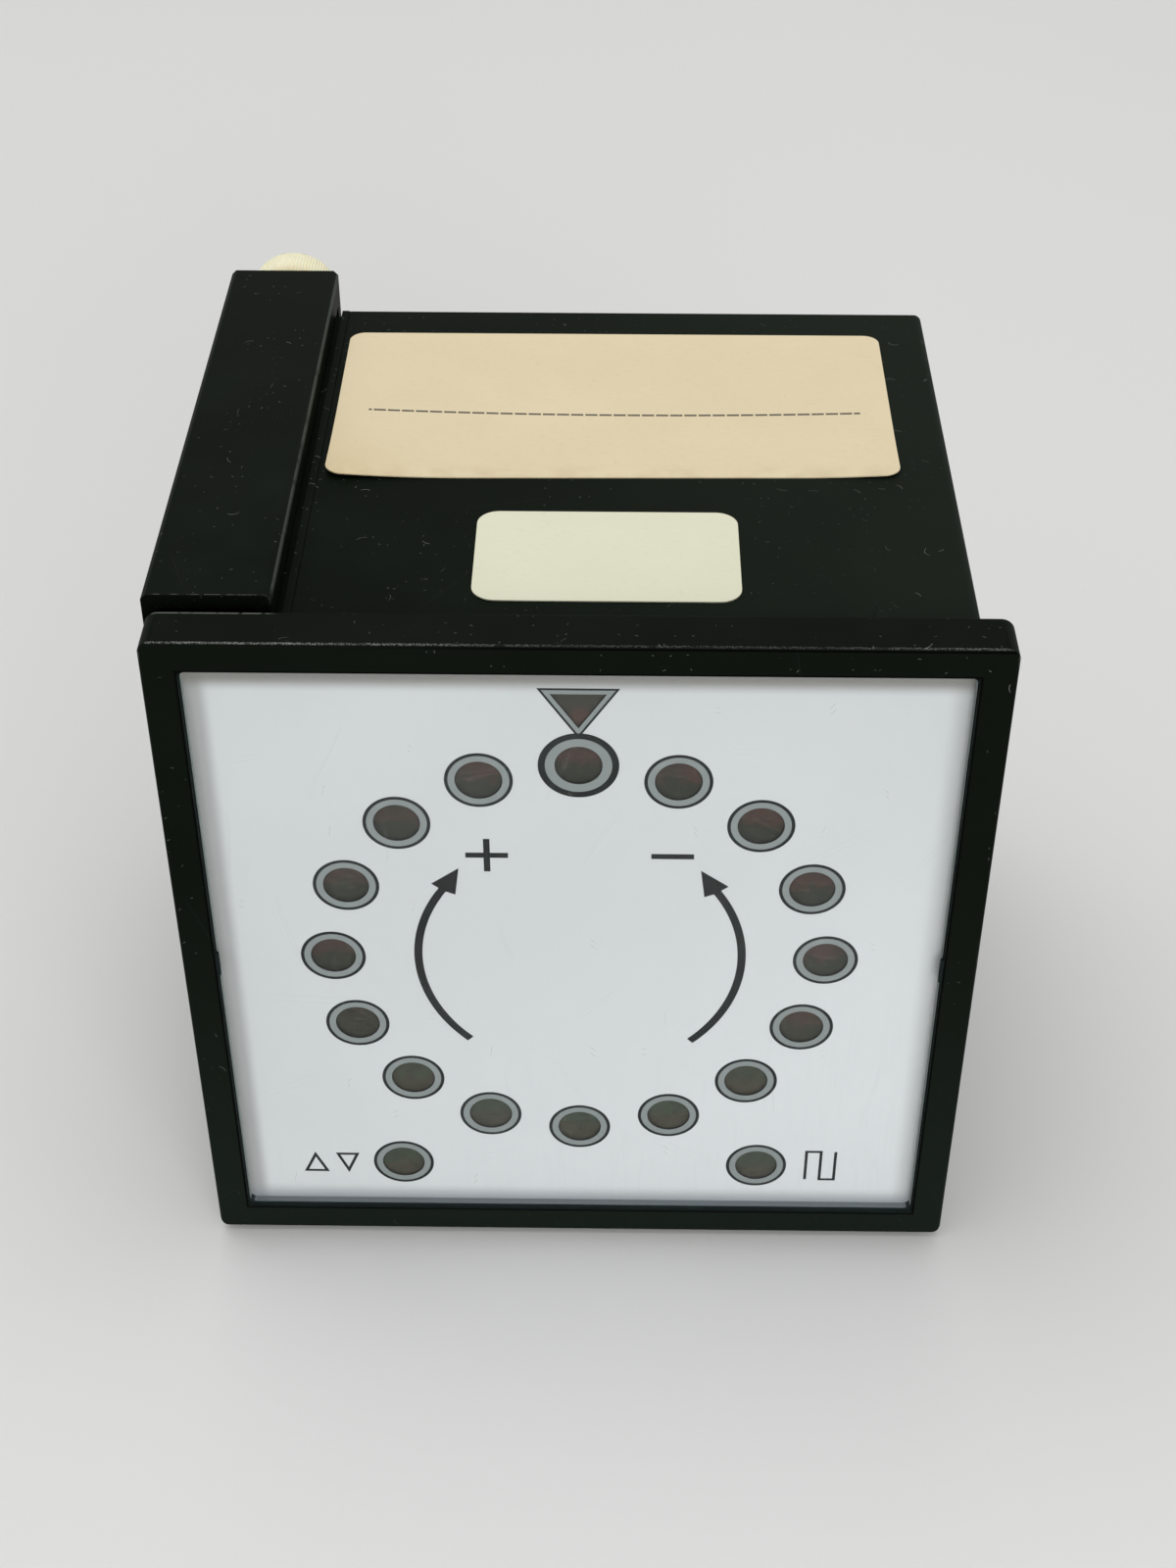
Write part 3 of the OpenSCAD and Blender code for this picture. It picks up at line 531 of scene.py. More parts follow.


# %% [markdown]
# ## The clear window
# The window is a flat sheet of clear plastic with slightly rounded corners. Its outline is four
# quarter circles joined by straight lines. It is lofted through three outlines, so that the front
# edge has a fine chamfer, which carries a painted highlight: a thin bright line at the foot of the
# bezel's wall.

# %% Outlines


def rounded_outline(half_x, half_z, radius, arc=7):
    """Counter-clockwise outline of a rounded rectangle: four arcs, each a centre plus radius times
    (cos a, sin a) with a over a quarter turn."""
    angles = np.radians(np.linspace(0, 90, arc)[None, :] + np.arange(4)[:, None] * 90)
    centres = np.array([(1, 1), (-1, 1), (-1, -1), (1, -1)]) * (half_x - radius, half_z - radius)
    turned = np.stack([np.cos(angles), np.sin(angles)], axis=-1) * radius
    return (turned + centres[:, None, :]).reshape(-1, 2)


def upright(outline, y):
    """Stands a flat outline of (x, z) pairs in the plane y."""
    return np.stack([outline[:, 0], np.full(len(outline), y), outline[:, 1]], axis=-1)


chamfer, window_corner, ledge_gap = 0.18, 1.0, 0.07
window_back = window_high[1] - ledge_gap
window_rows = [(window_half, window_back), (window_half, window_low[1] + chamfer),
               (window_half - chamfer, window_low[1])]
window_grid = np.stack([upright(rounded_outline(half, half, window_corner), y) for half, y in window_rows])
print("window grid", window_grid.shape)

# %% [markdown]
# Clear plastic could be a refracting shader, but a thin flat pane bends the view by almost
# nothing, and refraction would cost noise and a darker dial. So the pane is mostly see-through by
# Alpha, keeps its gloss, and carries what makes a real pane visible: a haze, dust grains, lint and
# fine scratches. Its rim carries painted light: a painted highlight at the sides and the foot and
# painted shade at the top.

# %% Clear window
clear = Finish("clear_window", (0.62, 0.66, 0.68), 0.12, Specular_IOR_Level=0.08)
plane = clear.surface_plane()
haze = clear.noise(18.0, 3.0).ramp(0.3, 0.75) * 0.012 + 0.006
pane_scratch = clear.fibres(plane, cell=13.0, length=11.0, width=0.05, bend=0.006, share=0.45, seed=4)
pane_lint = clear.fibres(plane, cell=6.0, length=1.1, width=0.04, bend=0.35, share=0.12, seed=5)
pane_grains = clear.specks(cell=2.2, radius=0.05, share=0.18)
marks = (pane_scratch * 0.10).most(pane_lint * 0.28).most(pane_grains * 0.5)
# Painted light on the rim: a painted highlight at the sides and the foot, painted shade at the top.
rim = abs(clear.x).most(abs(clear.z)).ramp(window_half - 0.16, window_half - 0.03)
rim_highlight_and_shade = clear.mix(clear.z < 0, (0.030, 0.040, 0.042), (0.24, 0.27, 0.29))
clear.coat(rim, clear.mix(abs(clear.x) > abs(clear.z), rim_highlight_and_shade, (0.30, 0.35, 0.33)), 0.15)
clear.coat(marks.ramp(0.05, 0.3), (0.85, 0.85, 0.85), 0.6)
clear.constants["Alpha"] = (haze + marks).most(rim * 0.85)
clear_window = clear.finish()
make_piece("window_pane", window_grid.reshape(-1, 3), skin(window_grid), clear_window, "instrument",
           replaces=["front_window"])

# %% [markdown]
# ## The printed dial
# The dial is a pale grey sheet with an opening for each light. The print round the openings is
# thin ink. It could be painted by a texture, but ink as real geometry keeps a crisp edge at any
# distance, so each mark is a film 0.02 to 0.03 mm thick on the face of the dial.

# %% Ink shapes
dial_face = dial_low[1]
ink_thin, ink_thick = 0.020, 0.030
round_points = 72


def film(outline):
    """A flat counter-clockwise outline thickened from the dial's face forwards."""
    grid = np.stack([upright(outline, dial_face), upright(outline, dial_face - ink_thin)])
    return grid.reshape(-1, 3), skin(grid)


def film_band(outer, inner, thickness=ink_thin):
    """The band between two outlines with the same number of points, as a closed ring of four rows."""
    front, back = dial_face - thickness, dial_face
    rows = [upright(outer, back), upright(outer, front), upright(inner, front), upright(inner, back)]
    grid = np.stack(rows)
    return grid.reshape(-1, 3), skin(grid, loop=True)


def circle(radius, centre):
    """Centre plus radius times (cos a, sin a) over a full turn."""
    angles = np.linspace(0, 2 * np.pi, round_points, endpoint=False)
    return np.stack([np.cos(angles), np.sin(angles)], axis=-1) * radius + np.array(centre)


def stroke(path, width):
    """Outline of a line of constant width along corner points: each point moves both ways along the
    mean of its two edge normals, divided by the cosine of half the turn so that the width stays."""
    path = np.asarray(path, float)
    steps = np.diff(path, axis=0)
    steps /= np.linalg.norm(steps, axis=1, keepdims=True)
    normals = np.stack([-steps[:, 1], steps[:, 0]], axis=-1)
    before = np.vstack([normals[:1], normals])
    after = np.vstack([normals, normals[-1:]])
    mean = before + after
    mean /= (mean * before).sum(axis=1, keepdims=True)
    return np.vstack([path - mean * width / 2, (path + mean * width / 2)[::-1]])


def inset_triangle(corners, distance):
    """A triangle moved in by a distance: its corners move towards the centre of the inscribed circle in
    the share distance / inscribed radius."""
    corners = np.asarray(corners, float)
    sides = np.linalg.norm(np.roll(corners, -1, axis=0) - np.roll(corners, 1, axis=0), axis=1)
    centre = (corners * sides[:, None]).sum(axis=0) / sides.sum()
    edges = np.roll(corners, -1, axis=0) - corners
    area = abs(edges[0][0] * edges[1][1] - edges[0][1] * edges[1][0]) / 2
    inscribed = 2 * area / sides.sum()
    return centre + (corners - centre) * (1 - distance / inscribed)


print("ink", ink_thin, "to", ink_thick, "thick on the face at", dial_face)

# %% [markdown]
# The sixteen lights stand in a ring, 22.5 degrees apart, and two more sit low at the sides. Each
# has a grey collar and a thin dark outline, and the top one has a heavy outline, because it marks
# the moment when both supplies are in phase. A triangle over it has a light of its own.

# %% Places of the lights
ring_centre = np.array([0, 0.25])
ring_radius = 29.85
ring_count = 16
ring_step = 360 / ring_count
light_radius = 2.74
turns = np.radians(np.arange(ring_count) * ring_step)
ring_places = ring_centre + ring_radius * np.stack([np.sin(turns), np.cos(turns)], axis=-1)
top_place = ring_places[0]
limit_places = np.array([(-23.1, -36.7), (23.1, -36.7)])
plain_places = np.vstack([ring_places[1:], limit_places])
collar_radius, outline_radius = 3.53, 3.94
top_collar_radius, top_outline_radius = 3.83, 4.63
print("round openings:", len(plain_places) + 1)

# %% Collars and outlines
pointer_outer = np.array([(-4.65, 41.0), (0.0, 34.02), (4.65, 41.0)])
pointer_inner = np.array([(-3.2, 40.2), (0.0, 35.4), (3.2, 40.2)])
pointer_line_width = 0.27
pointer_line = inset_triangle(pointer_outer, pointer_line_width)
collars, outlines = [], []
for place in plain_places:
    collars.append(film_band(circle(collar_radius, place), circle(light_radius, place)))
    outlines.append(film_band(circle(outline_radius, place), circle(collar_radius, place)))
top_collar = circle(top_collar_radius, top_place)
collars.append(film_band(top_collar, circle(light_radius, top_place), ink_thick))
collars.append(film_band(pointer_line, pointer_inner))
outlines.append(film_band(circle(top_outline_radius, top_place), top_collar, ink_thick))
outlines.append(film_band(pointer_outer, pointer_line))
print("collars:", len(collars), "outlines:", len(outlines))

# %% [markdown]
# Two curved arrows show which way the lights run when the machine is fast or slow. Each arrow is
# one outline: the outer arc up to the head, round the head, and back along the inner arc.

# %% Arrows and signs
arrow_radius, arrow_width, arc_points = 19.5, 1.0, 40
tail_angle, head_angle = 225.8, 146.2
left_head = np.array([(-17.48, 12.05), (-14.16, 14.5), (-14.67, 10.36)])
right_shift = (0.2, -0.05)
sweep = np.radians(np.linspace(tail_angle, head_angle, arc_points))
direction = np.stack([np.cos(sweep), np.sin(sweep)], axis=-1)
outer_arc = ring_centre + direction * (arrow_radius + arrow_width / 2)
inner_arc = ring_centre + direction * (arrow_radius - arrow_width / 2)
left_arrow = np.vstack([outer_arc, left_head, inner_arc[::-1]])[::-1]
right_arrow = (left_arrow * (-1, 1))[::-1] + right_shift
plus_centre, minus_centre = (-10.78, 16.56), (10.98, 16.6)
arm, sign_width = 2.5, 0.76
plus_corners = np.array([(sign_width / 2, sign_width / 2), (sign_width / 2, arm), (-sign_width / 2, arm)])
quarters = [np.array([(0, 1), (-1, 0)]), np.array([(-1, 0), (0, -1)]), np.array([(0, -1), (1, 0)])]
plus_sign = np.vstack([plus_corners] + [plus_corners @ quarter for quarter in quarters]) + plus_centre
minus_sign = stroke([(-arm, 0), (arm, 0)], sign_width) + minus_centre
print("arrow outline points:", len(left_arrow), "plus sign points:", len(plus_sign))

# %% [markdown]
# Beside each limit light stands a small legend made of plain shapes: two outlined triangles on
# the left and a stepped line on the right.

# %% Legends
legend_width = 0.38
up_triangle = np.array([(-36.27, -38.7), (-32.97, -38.7), (-34.62, -34.95)])
down_triangle = np.array([(-31.95, -35.1), (-30.4, -38.85), (-28.85, -35.1)])
steps_line = [(29.6, -39.3), (29.6, -34.0), (31.5, -34.0), (31.5, -39.3), (33.4, -39.3), (33.4, -34.0)]
legends = [film_band(shape, inset_triangle(shape, legend_width)) for shape in (up_triangle, down_triangle)]
legends.append(film(stroke(steps_line, legend_width)))
signs = [film(shape) for shape in (left_arrow, right_arrow, plus_sign, minus_sign)]
print("legends:", len(legends), "signs:", len(signs))

# %% [markdown]
# Ink is never quite even: it is a little thin in places, and slightly glossy against the matt
# sheet. One recipe serves both the grey and the dark ink.

# %% Ink finish and pieces


def ink(name, colour, thin):
    """A flat ink with slow variation in depth. thin is the colour where it lies thin."""
    finish = Finish(name, colour, 0.6, Specular_IOR_Level=0.15)
    finish.coat(finish.noise(2.2, 3.0).ramp(0.4, 0.7) * 0.5, thin)
    finish.coat(finish.specks(cell=0.9, radius=0.06, share=0.2) * 0.4, (0.5, 0.5, 0.5), 0.8)
    finish.raise_by(finish.noise(0.12, 1.0) * 0.002)
    return finish.finish(bump=0.3)


grey_ink = ink("grey_ink", (0.236, 0.268, 0.264), (0.266, 0.296, 0.294))
dark_ink = ink("dark_ink", (0.011, 0.014, 0.013), (0.017, 0.021, 0.020))
for name, parts, material in (("grey_collars", collars, grey_ink), ("dark_outlines", outlines, dark_ink),
                              ("arrows_and_signs", signs, dark_ink), ("corner_legends", legends, dark_ink)):
    points, faces = joined(parts)
    make_piece(name, points, faces, material, "instrument")

# %% [markdown]
# ## Dial sheet and smoked filter
# Both are flat CAD sheets whose shape is right, so they stay and only get a finish. The dial has a
# faint lengthwise grain, is painted lighter towards the lower right as painted light, carries painted
# shadow under the edge of the frame, and is dark on the cut edges of its openings. The filter is
# what fills every opening: dark, smoked, with a hint of the unlit lamp behind it, reddish at the top
# and sides and olive below, with painted shade round the rim of each opening.

# %% Finish for a CAD node


def dress(material, *nodes):
    """Gives CAD nodes a material, and leaves their mesh alone."""
    for node in nodes:
        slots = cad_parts[node].data.materials
        slots.clear()
        slots.append(material)
    print(material.name, "on", ", ".join(nodes))


dial = Finish("dial_sheet", (0.590, 0.620, 0.628), 0.62, Specular_IOR_Level=0.3)
dial.coat(dial.noise(26.0, 2.0).ramp(0.35, 0.7) * 0.5, (0.620, 0.652, 0.662))
# Painted light: the dial is lighter towards the lower right.
dial.coat((dial.x * 0.5 - dial.z).ramp(-20.0, 60.0) * 0.65, (0.725, 0.760, 0.775))
dial.coat(dial.noise(0.5, 2.0, dial.stretched(z=0.06)).ramp(0.45, 0.8) * 0.3, (0.595, 0.63, 0.645))
dial.coat(dial.specks(cell=3.4, radius=0.09, share=0.25) * 0.45, (0.30, 0.30, 0.30), 0.8)
# Painted shadow under the edges of the frame: darker near the sides, foot and top of the opening, each side
# by its own amount.
from_side = opening_half - abs(dial.x)
from_top = opening_half - dial.z
from_foot = opening_half + dial.z
left_shade = from_side.ramp(3.2, 1.4) * 0.72 + from_side.ramp(1.4, 0.2) * 0.24
right_shade = from_side.ramp(3.2, 0.2) * 0.6
dial.coat(dial.mix(dial.x > 0, left_shade, right_shade), (0.290, 0.295, 0.290))
dial.coat(from_foot.ramp(3.1, 0.2) * 0.72, (0.280, 0.305, 0.335))
dial.coat(from_top.ramp(3.8, 1.6) * 0.93, (0.195, 0.190, 0.172))
dial.coat(dial.y > dial_face + 0.03, (0.030, 0.031, 0.028), 0.8)
dial.raise_by(dial.noise(0.18, 1.0) * 0.003)
dress(dial.finish(bump=0.3), "dial_plate")

# %% [markdown]
# To draw the lamp behind each opening, the shader needs the distance to the nearest lamp centre.
# The angle round the ring is wrapped into one step of 22.5 degrees, so that a single formula
# serves all sixteen: distance^2 = (r cos w - R)^2 + (r sin w)^2 with w the wrapped angle.

# %% Where the lamps are behind the filter
smoke = Finish("smoked_filter_sheet", (0.034, 0.035, 0.030), 0.5, Specular_IOR_Level=0.10)
step = math.radians(ring_step)
height_over = smoke.z - float(ring_centre[1])
radius = smoke.x.diagonal(height_over)
angle = smoke.x.math("ARCTAN2", height_over)
wrapped = (angle / step + 0.5).math("FLOORED_MODULO", 1.0) - 0.5
sideways = radius * (wrapped * step).math("SINE")
outwards = radius * (wrapped * step).math("COSINE") - ring_radius
ring_distance = sideways.diagonal(outwards)
limit_x = abs(smoke.x) - float(limit_places[1][0])
limit_z = smoke.z - float(limit_places[1][1])
limit_distance = limit_x.diagonal(limit_z)
distance = ring_distance.least(limit_distance)
in_ring = ring_distance < limit_distance
lamp_height = (angle - wrapped * step).math("COSINE") * ring_radius
above = in_ring * (height_over - lamp_height) + (1 - in_ring) * limit_z
print("lamps wrapped into one step of", ring_step, "degrees")

# %% [markdown]
# High on the ring red shows in the upper part of an opening and dark olive in its lower part, with
# a border that wanders. Low on the ring the upper part is a green olive and the lower part a brown
# one. The triangle is olive, with a small red glow.

# %% Smoked filter
low = height_over.ramp(-6.0, -24.0)
wander = above + smoke.noise(1.3, 2.0) * 5.5 - 2.75
redness = smoke.noise(7.0, 1.0).ramp(0.38, 0.56) * 0.5 + smoke.x.ramp(-25.0, 20.0) * 0.3 + 0.2
pointer_olive = height_over.ramp(34.2, 34.8)
red_share = wander.ramp(-0.8, 0.8) * redness * (1 - pointer_olive * 0.85)
upper_tint = smoke.mix(red_share, (0.036, 0.040, 0.030), (0.070, 0.043, 0.037))
lower_tint = smoke.mix(wander.ramp(-0.9, 0.9), (0.064, 0.060, 0.045), (0.054, 0.070, 0.049))
smoke.colour = smoke.mix(low, upper_tint, lower_tint)
smoke.coat(smoke.noise(0.8, 3.0).ramp(0.42, 0.66) * 0.40, (0.028, 0.030, 0.024))
smoke.coat(smoke.noise(0.55, 3.0, smoke.stretched(x=0.6)).ramp(0.55, 0.72) * 0.35, (0.100, 0.098, 0.080))
# Painted shade: each opening darkens towards its rim, under the dial's edge.
smoke.coat(distance.ramp(2.25, 2.65) * 0.45, (0.024, 0.024, 0.021))
glow_x, glow_z = 0.2, 36.9
glow = (smoke.x - glow_x).diagonal(smoke.z - glow_z).ramp(1.7, 0.5)
smoke.coat(pointer_olive * 0.5, (0.060, 0.058, 0.046))
smoke.coat(glow * 0.7, (0.090, 0.050, 0.042))
smoke.coat(smoke.specks(cell=0.8, radius=0.06, share=0.16) * 0.5, (0.36, 0.35, 0.33), 0.8)
plane = smoke.surface_plane()
filter_lint = smoke.fibres(plane, cell=1.9, length=0.8, width=0.05, bend=0.6, share=0.3, seed=6)
smoke.coat(filter_lint * 0.25, (0.30, 0.27, 0.24), 0.8)
smoke.raise_by(smoke.noise(0.3, 2.0) * 0.004)
dress(smoke.finish(bump=0.4), "smoked_filter")

# %% [markdown]
# ## Paper labels
# Two paper labels lie on top of the case. Each is a sheet 0.15 mm thick with rounded corners. Both
# front corners of the large one have begun to lift, and the front left corner of the small one.
# The sheet is a stack of outlines that shrink towards the middle, once over the top and once
# underneath, and a smooth function lifts both alike.

# %% A lifting paper sheet
under_gap = 0.005
longest_step = 2.5


def paper_sheet(low, high, radius, lift, skew=0.0):
    """Grid of a thin sheet. Rows are the outline shrunk by s, where s runs from the middle out along the
    underside and back in along the top. Each stretch of the outline is cut into equal steps. lift(x, y)
    raises the sheet and skew slopes its front edge."""
    centre = (low[:2] + high[:2]) / 2
    half = (high[:2] - low[:2]) / 2
    shrink = np.array([0.03, 0.2, 0.4, 0.6, 0.75, 0.87, 0.95, 0.99, 1.0])
    scale = np.concatenate([shrink, shrink[::-1]])
    height = np.repeat([low[2] + under_gap, high[2]], len(shrink))
    corners = rounded_outline(half[0], half[1], radius, arc=10)
    along = np.roll(corners, -1, axis=0) - corners
    counts = np.maximum(1, np.linalg.norm(along, axis=1) // longest_step).astype(int)
    first = np.repeat(np.cumsum(counts) - counts, counts)
    share = (np.arange(counts.sum()) - first) / np.repeat(counts, counts)
    outline = np.repeat(corners, counts, axis=0) + np.repeat(along, counts, axis=0) * share[:, None]
    flat = outline[None, :, :] * scale[:, None, None] + centre
    x, y = flat[..., 0], flat[..., 1]
    front = (high[1] - y) / (high[1] - low[1])
    y = y + skew * (x - centre[0]) * front
    z = height[:, None] + lift(x, y)
    return np.stack([x, y, z], axis=-1)


def corner_lift(corner, reach, amount):
    """Lift that grows with the square of the nearness to one corner: amount (1 - distance / reach)^2."""
    def rise(x, y):
        distance = np.hypot(x - corner[0], y - corner[1])
        return amount * np.clip(1 - distance / reach, 0, 1) ** 2
    return rise


def label_lift(x, y):
    """The large label: both front corners rise, the left one more."""
    left = corner_lift((label_low[0], label_low[1]), reach=17.0, amount=0.75)
    right = corner_lift((label_high[0], label_low[1]), reach=13.0, amount=0.45)
    return left(x, y) + right(x, y)


label_corner, tag_corner = 2.0, 2.6
tag_lift = corner_lift((tag_low[0], tag_low[1]), reach=6.0, amount=0.12)
label_grid = paper_sheet(label_low, label_high, label_corner, label_lift, skew=0.013)
tag_grid = paper_sheet(tag_low, tag_high, tag_corner, tag_lift)
print("label grid", label_grid.shape, "tag grid", tag_grid.shape)

# %% [markdown]
# The paper is bare, but for a plain dashed rule on the large label, a row of short printed
# dashes. The sheet was stuck on with a slight bow, which the rule shows: y grows with the square
# of the distance from the bow's vertex.

# %% Paper finish


def paper(name, colour, shade, aged):
    """Coated paper: slow yellowing, fine fibre, specks and a few hairs. Its user adds more and ends it."""
    finish = Finish(name, colour, 0.68, Specular_IOR_Level=0.3)
    finish.coat(finish.noise(11.0, 4.0).ramp(0.35, 0.7) * 0.6, shade)
    finish.coat(finish.noise(0.4, 3.0, finish.stretched(x=0.35)).ramp(0.5, 0.8) * 0.25, aged)
    finish.coat(finish.specks(cell=2.4, radius=0.09, share=0.3) * 0.5, (0.30, 0.22, 0.12), 0.8)
    plane = finish.surface_plane()
    hairs = finish.fibres(plane, cell=4.0, length=1.2, width=0.05, bend=0.4, share=0.25, seed=7)
    finish.coat(hairs * 0.35, (0.42, 0.34, 0.22), 0.8)
    finish.raise_by(finish.noise(0.25, 3.0) * 0.008)
    return finish


cream = paper("cream_label_paper", (0.770, 0.658, 0.436), (0.805, 0.690, 0.466), (0.64, 0.51, 0.31))
from_corner = (cream.x - float(label_low[0])).diagonal(cream.y - float(label_low[1]))
cream.coat(from_corner.ramp(14.0, 2.0) * 0.45, (0.70, 0.55, 0.31))
front_edge = cream.y.ramp(label_low[1] + 4.0, label_low[1])
cream.coat(front_edge * cream.noise(3.0, 3.0).ramp(0.35, 0.7) * 0.35, (0.55, 0.43, 0.26))
rule_x, rule_y, rule_half_length, rule_half_width = 3.65, 48.04, 31.1, 0.19
dash, gap = 1.55, 0.24
bow_vertex, bow = 5.0, 0.001
from_vertex = cream.x - bow_vertex
bowed = cream.y - from_vertex * from_vertex * bow
along_rule = (cream.x / (dash + gap)).math("FLOORED_MODULO", 1.0) < dash / (dash + gap)
rule = bowed.near(rule_y, rule_half_width, 0.04) * cream.x.near(rule_x, rule_half_length, 0.1) * along_rule
cream.coat(rule * cream.noise(0.3, 2.0).ramp(0.15, 0.38) * 0.95, (0.045, 0.042, 0.032))
cream_paper = cream.finish(bump=0.5)
white = paper("white_label_paper", (0.770, 0.765, 0.585), (0.795, 0.785, 0.615), (0.64, 0.62, 0.46))
white_paper = white.finish(bump=0.5)
make_piece("large_paper_label", label_grid.reshape(-1, 3), skin(label_grid), cream_paper, "instrument",
           40, ["rating_label"])
make_piece("small_paper_label", tag_grid.reshape(-1, 3), skin(tag_grid), white_paper, "instrument",
           40, ["small_label"])

# %% [markdown]
# ## Nylon thumbscrews
# Each clamp is drawn forward by a nylon thumbscrew. The wheel and collar keep the CAD form, with
# softened edges. The CAD shank is a plain rod, so it is cut off just in front of the collar, and a
# real thread takes its place: the radius of a point rises and falls with y - pitch * turn.

# %% Thread surface
thread_pitch, crest, root = 0.7, 1.93, 1.55
steepness, foot, run_out = 1.35, 0.15, 1.2
columns, rows_per_turn = 28, 8


def thread(axis_x, axis_z, start, end):
    """Grid of a right-hand thread along Y: radius = root + (crest - root) w, where w is a triangle wave
    of y / pitch - turn, flat at crest and root, that runs out to the root at both ends."""
    rows = int((end - start) / thread_pitch * rows_per_turn)
    y = np.linspace(start, end, rows)[:, None]
    turn = np.linspace(0, 1, columns, endpoint=False)[None, :]
    phase = np.mod(y / thread_pitch - turn, 1.0)
    wave = np.clip(steepness * (1 - abs(2 * phase - 1)) - foot, 0, 1)
    fade = np.clip(np.minimum(y - start, end - y) / run_out, 0, 1)
    radius = root + (crest - root) * wave * fade
    angle = 2 * np.pi * turn
    deep = np.broadcast_to(y, radius.shape)
    return np.stack([axis_x + radius * np.sin(angle), deep, axis_z + radius * np.cos(angle)], axis=-1)


# %% [markdown]
# Natural nylon is a waxy cream that lets a little light in. A small subsurface share does that.
# Towards the front of the wheel it is painted darker and warmer: painted shade from the clamp.

# %% Nylon finish and thumbscrews
wheel_length, collar_length = 6.5, 2.1
screw_x = (screw_high[0] + screw_low[0]) / 2
wheel_front = screw_high[1] - wheel_length
collar_front = wheel_front - collar_length
rod_cut, thread_end = collar_front - 0.05, collar_front - 0.02
nylon = Finish("natural_nylon_wheel", (0.93, 0.88, 0.62), 0.42, Specular_IOR_Level=0.4,
               Subsurface_Weight=0.25, Subsurface_Radius=(1.0, 0.7, 0.35), Subsurface_Scale=1.2 * MM)
nylon.coat(nylon.noise(4.0, 3.0).ramp(0.4, 0.7) * 0.5, (0.96, 0.92, 0.70))
# Painted shade from the clamp: the wheel darkens and warms towards its front.
nylon.coat(nylon.y.ramp(wheel_front + 3.2, wheel_front - 0.5) * 0.7, (0.66, 0.54, 0.30))
nylon.coat(nylon.specks(cell=1.6, radius=0.06, share=0.2) * 0.4, (0.40, 0.34, 0.22), 0.8)
nylon.raise_by(nylon.noise(0.5, 3.0) * 0.02)
nylon_white = nylon.finish(bump=0.5)
for side, turn in (("upper", 1), ("lower", -1)):
    soften(f"thumbscrew_{side}", f"{side}_nylon_wheel", f"{side}_thumbscrew", nylon_white,
           0.06, 1, cut=((0, rod_cut, 0), (0, -1, 0)))
    shank = thread(turn * screw_x, -turn * screw_x, screw_low[1], thread_end)
    make_piece(f"{side}_nylon_thread", shank.reshape(-1, 3), skin(shank), nylon_white,
               f"{side}_thumbscrew", 60)

# %% [markdown]
# ## Metal parts at the rear
# Screws, wire clamps and nuts are small turned and stamped parts. They keep their CAD form with
# softened edges. Their finish is a metal whose roughness varies, with fine machining lines.

# %% Metal finishes


def metal(name, colour, stain, roughness, line_size):
    """Bare or plated metal: a stain that comes and goes, and machining lines across the face."""
    finish = Finish(name, colour, roughness, Metallic=1.0)
    lines = finish.noise(line_size, 2.0, finish.stretched(x=0.15, z=0.15, y=2.0))
    finish.coat(finish.noise(1.8, 4.0).ramp(0.45, 0.75) * 0.5, stain)
    finish.roughness = lines * 0.25 + (roughness - 0.1)
    finish.raise_by(lines * 0.006)
    return finish.finish(bump=0.5)


zinc = metal("zinc_plate", (0.56, 0.56, 0.55), (0.44, 0.43, 0.40), 0.34, 0.25)
plated_brass = metal("plated_brass", (0.63, 0.56, 0.36), (0.50, 0.42, 0.25), 0.3, 0.3)
plain_brass = metal("plain_brass", (0.62, 0.45, 0.17), (0.42, 0.29, 0.12), 0.34, 0.3)
soften("cover_screws", "cover_fixing_screws", "instrument", zinc)
soften("terminal_nuts", "square_terminal_nuts", "instrument", plain_brass)
for number in range(1, 5):
    soften(f"wire_clamp_{number}", f"terminal_washer_{number}", f"wire_clamp_{number}", zinc)
    soften(f"terminal_screw_{number}", f"terminal_pan_screw_{number}", f"terminal_screw_{number}",
           plated_brass)

# %% [markdown]
# ## Parts inside the case
# Boards, lights and transformers are closed in and never seen from outside. They stay as CAD
# solids, each with a plain finish of its own material.

# %% Inner finishes


def moulded(name, colour, other, roughness, grain, metallic=0.0):
    """A simple moulded or potted surface: two close colours, a grain in relief and uneven gloss."""
    finish = Finish(name, colour, roughness, Metallic=metallic)
    finish.coat(finish.noise(grain * 8, 3.0).ramp(0.4, 0.7), other)
    finish.roughness = finish.noise(grain * 3, 2.0) * 0.2 + (roughness - 0.1)
    finish.raise_by(finish.noise(grain, 2.0) * 0.01)
    return finish.finish(bump=0.4)


dress(moulded("light_box_white", (0.74, 0.74, 0.70), (0.78, 0.78, 0.74), 0.5, 0.4),
      "light_box")
dress(moulded("tinted_red_lens", (0.30, 0.05, 0.04), (0.36, 0.07, 0.05), 0.2, 0.6),
      "ring_leds", "pointer_led")
dress(moulded("tinted_green_lens", (0.17, 0.24, 0.07), (0.20, 0.27, 0.09), 0.2, 0.6),
      "limit_leds")
dress(moulded("green_board", (0.03, 0.12, 0.055), (0.04, 0.15, 0.07), 0.35, 0.3),
      "display_board", "main_board")
dress(moulded("chip_epoxy", (0.018, 0.018, 0.020), (0.026, 0.026, 0.028), 0.5, 0.15),
      "led_drivers", "board_header", "controller_chip", "bridge_rectifiers")
dress(moulded("potted_blue", (0.03, 0.055, 0.16), (0.04, 0.07, 0.19), 0.45, 0.3),
      "bus_transformer", "generator_transformer")
dress(moulded("capacitor_sleeve_blue", (0.02, 0.03, 0.06), (0.03, 0.04, 0.08), 0.3, 0.4),
      "reservoir_capacitors")
dress(moulded("film_capacitor_yellow", (0.48, 0.28, 0.05), (0.54, 0.33, 0.07), 0.4, 0.3),
      "film_capacitors")
dress(moulded("resistor_ceramic_white", (0.68, 0.64, 0.56), (0.74, 0.70, 0.62), 0.7, 0.2),
      "dropper_resistors")
dress(moulded("screw_steel", (0.56, 0.56, 0.55), (0.46, 0.45, 0.43), 0.35, 0.3, metallic=1.0),
      "display_screws")

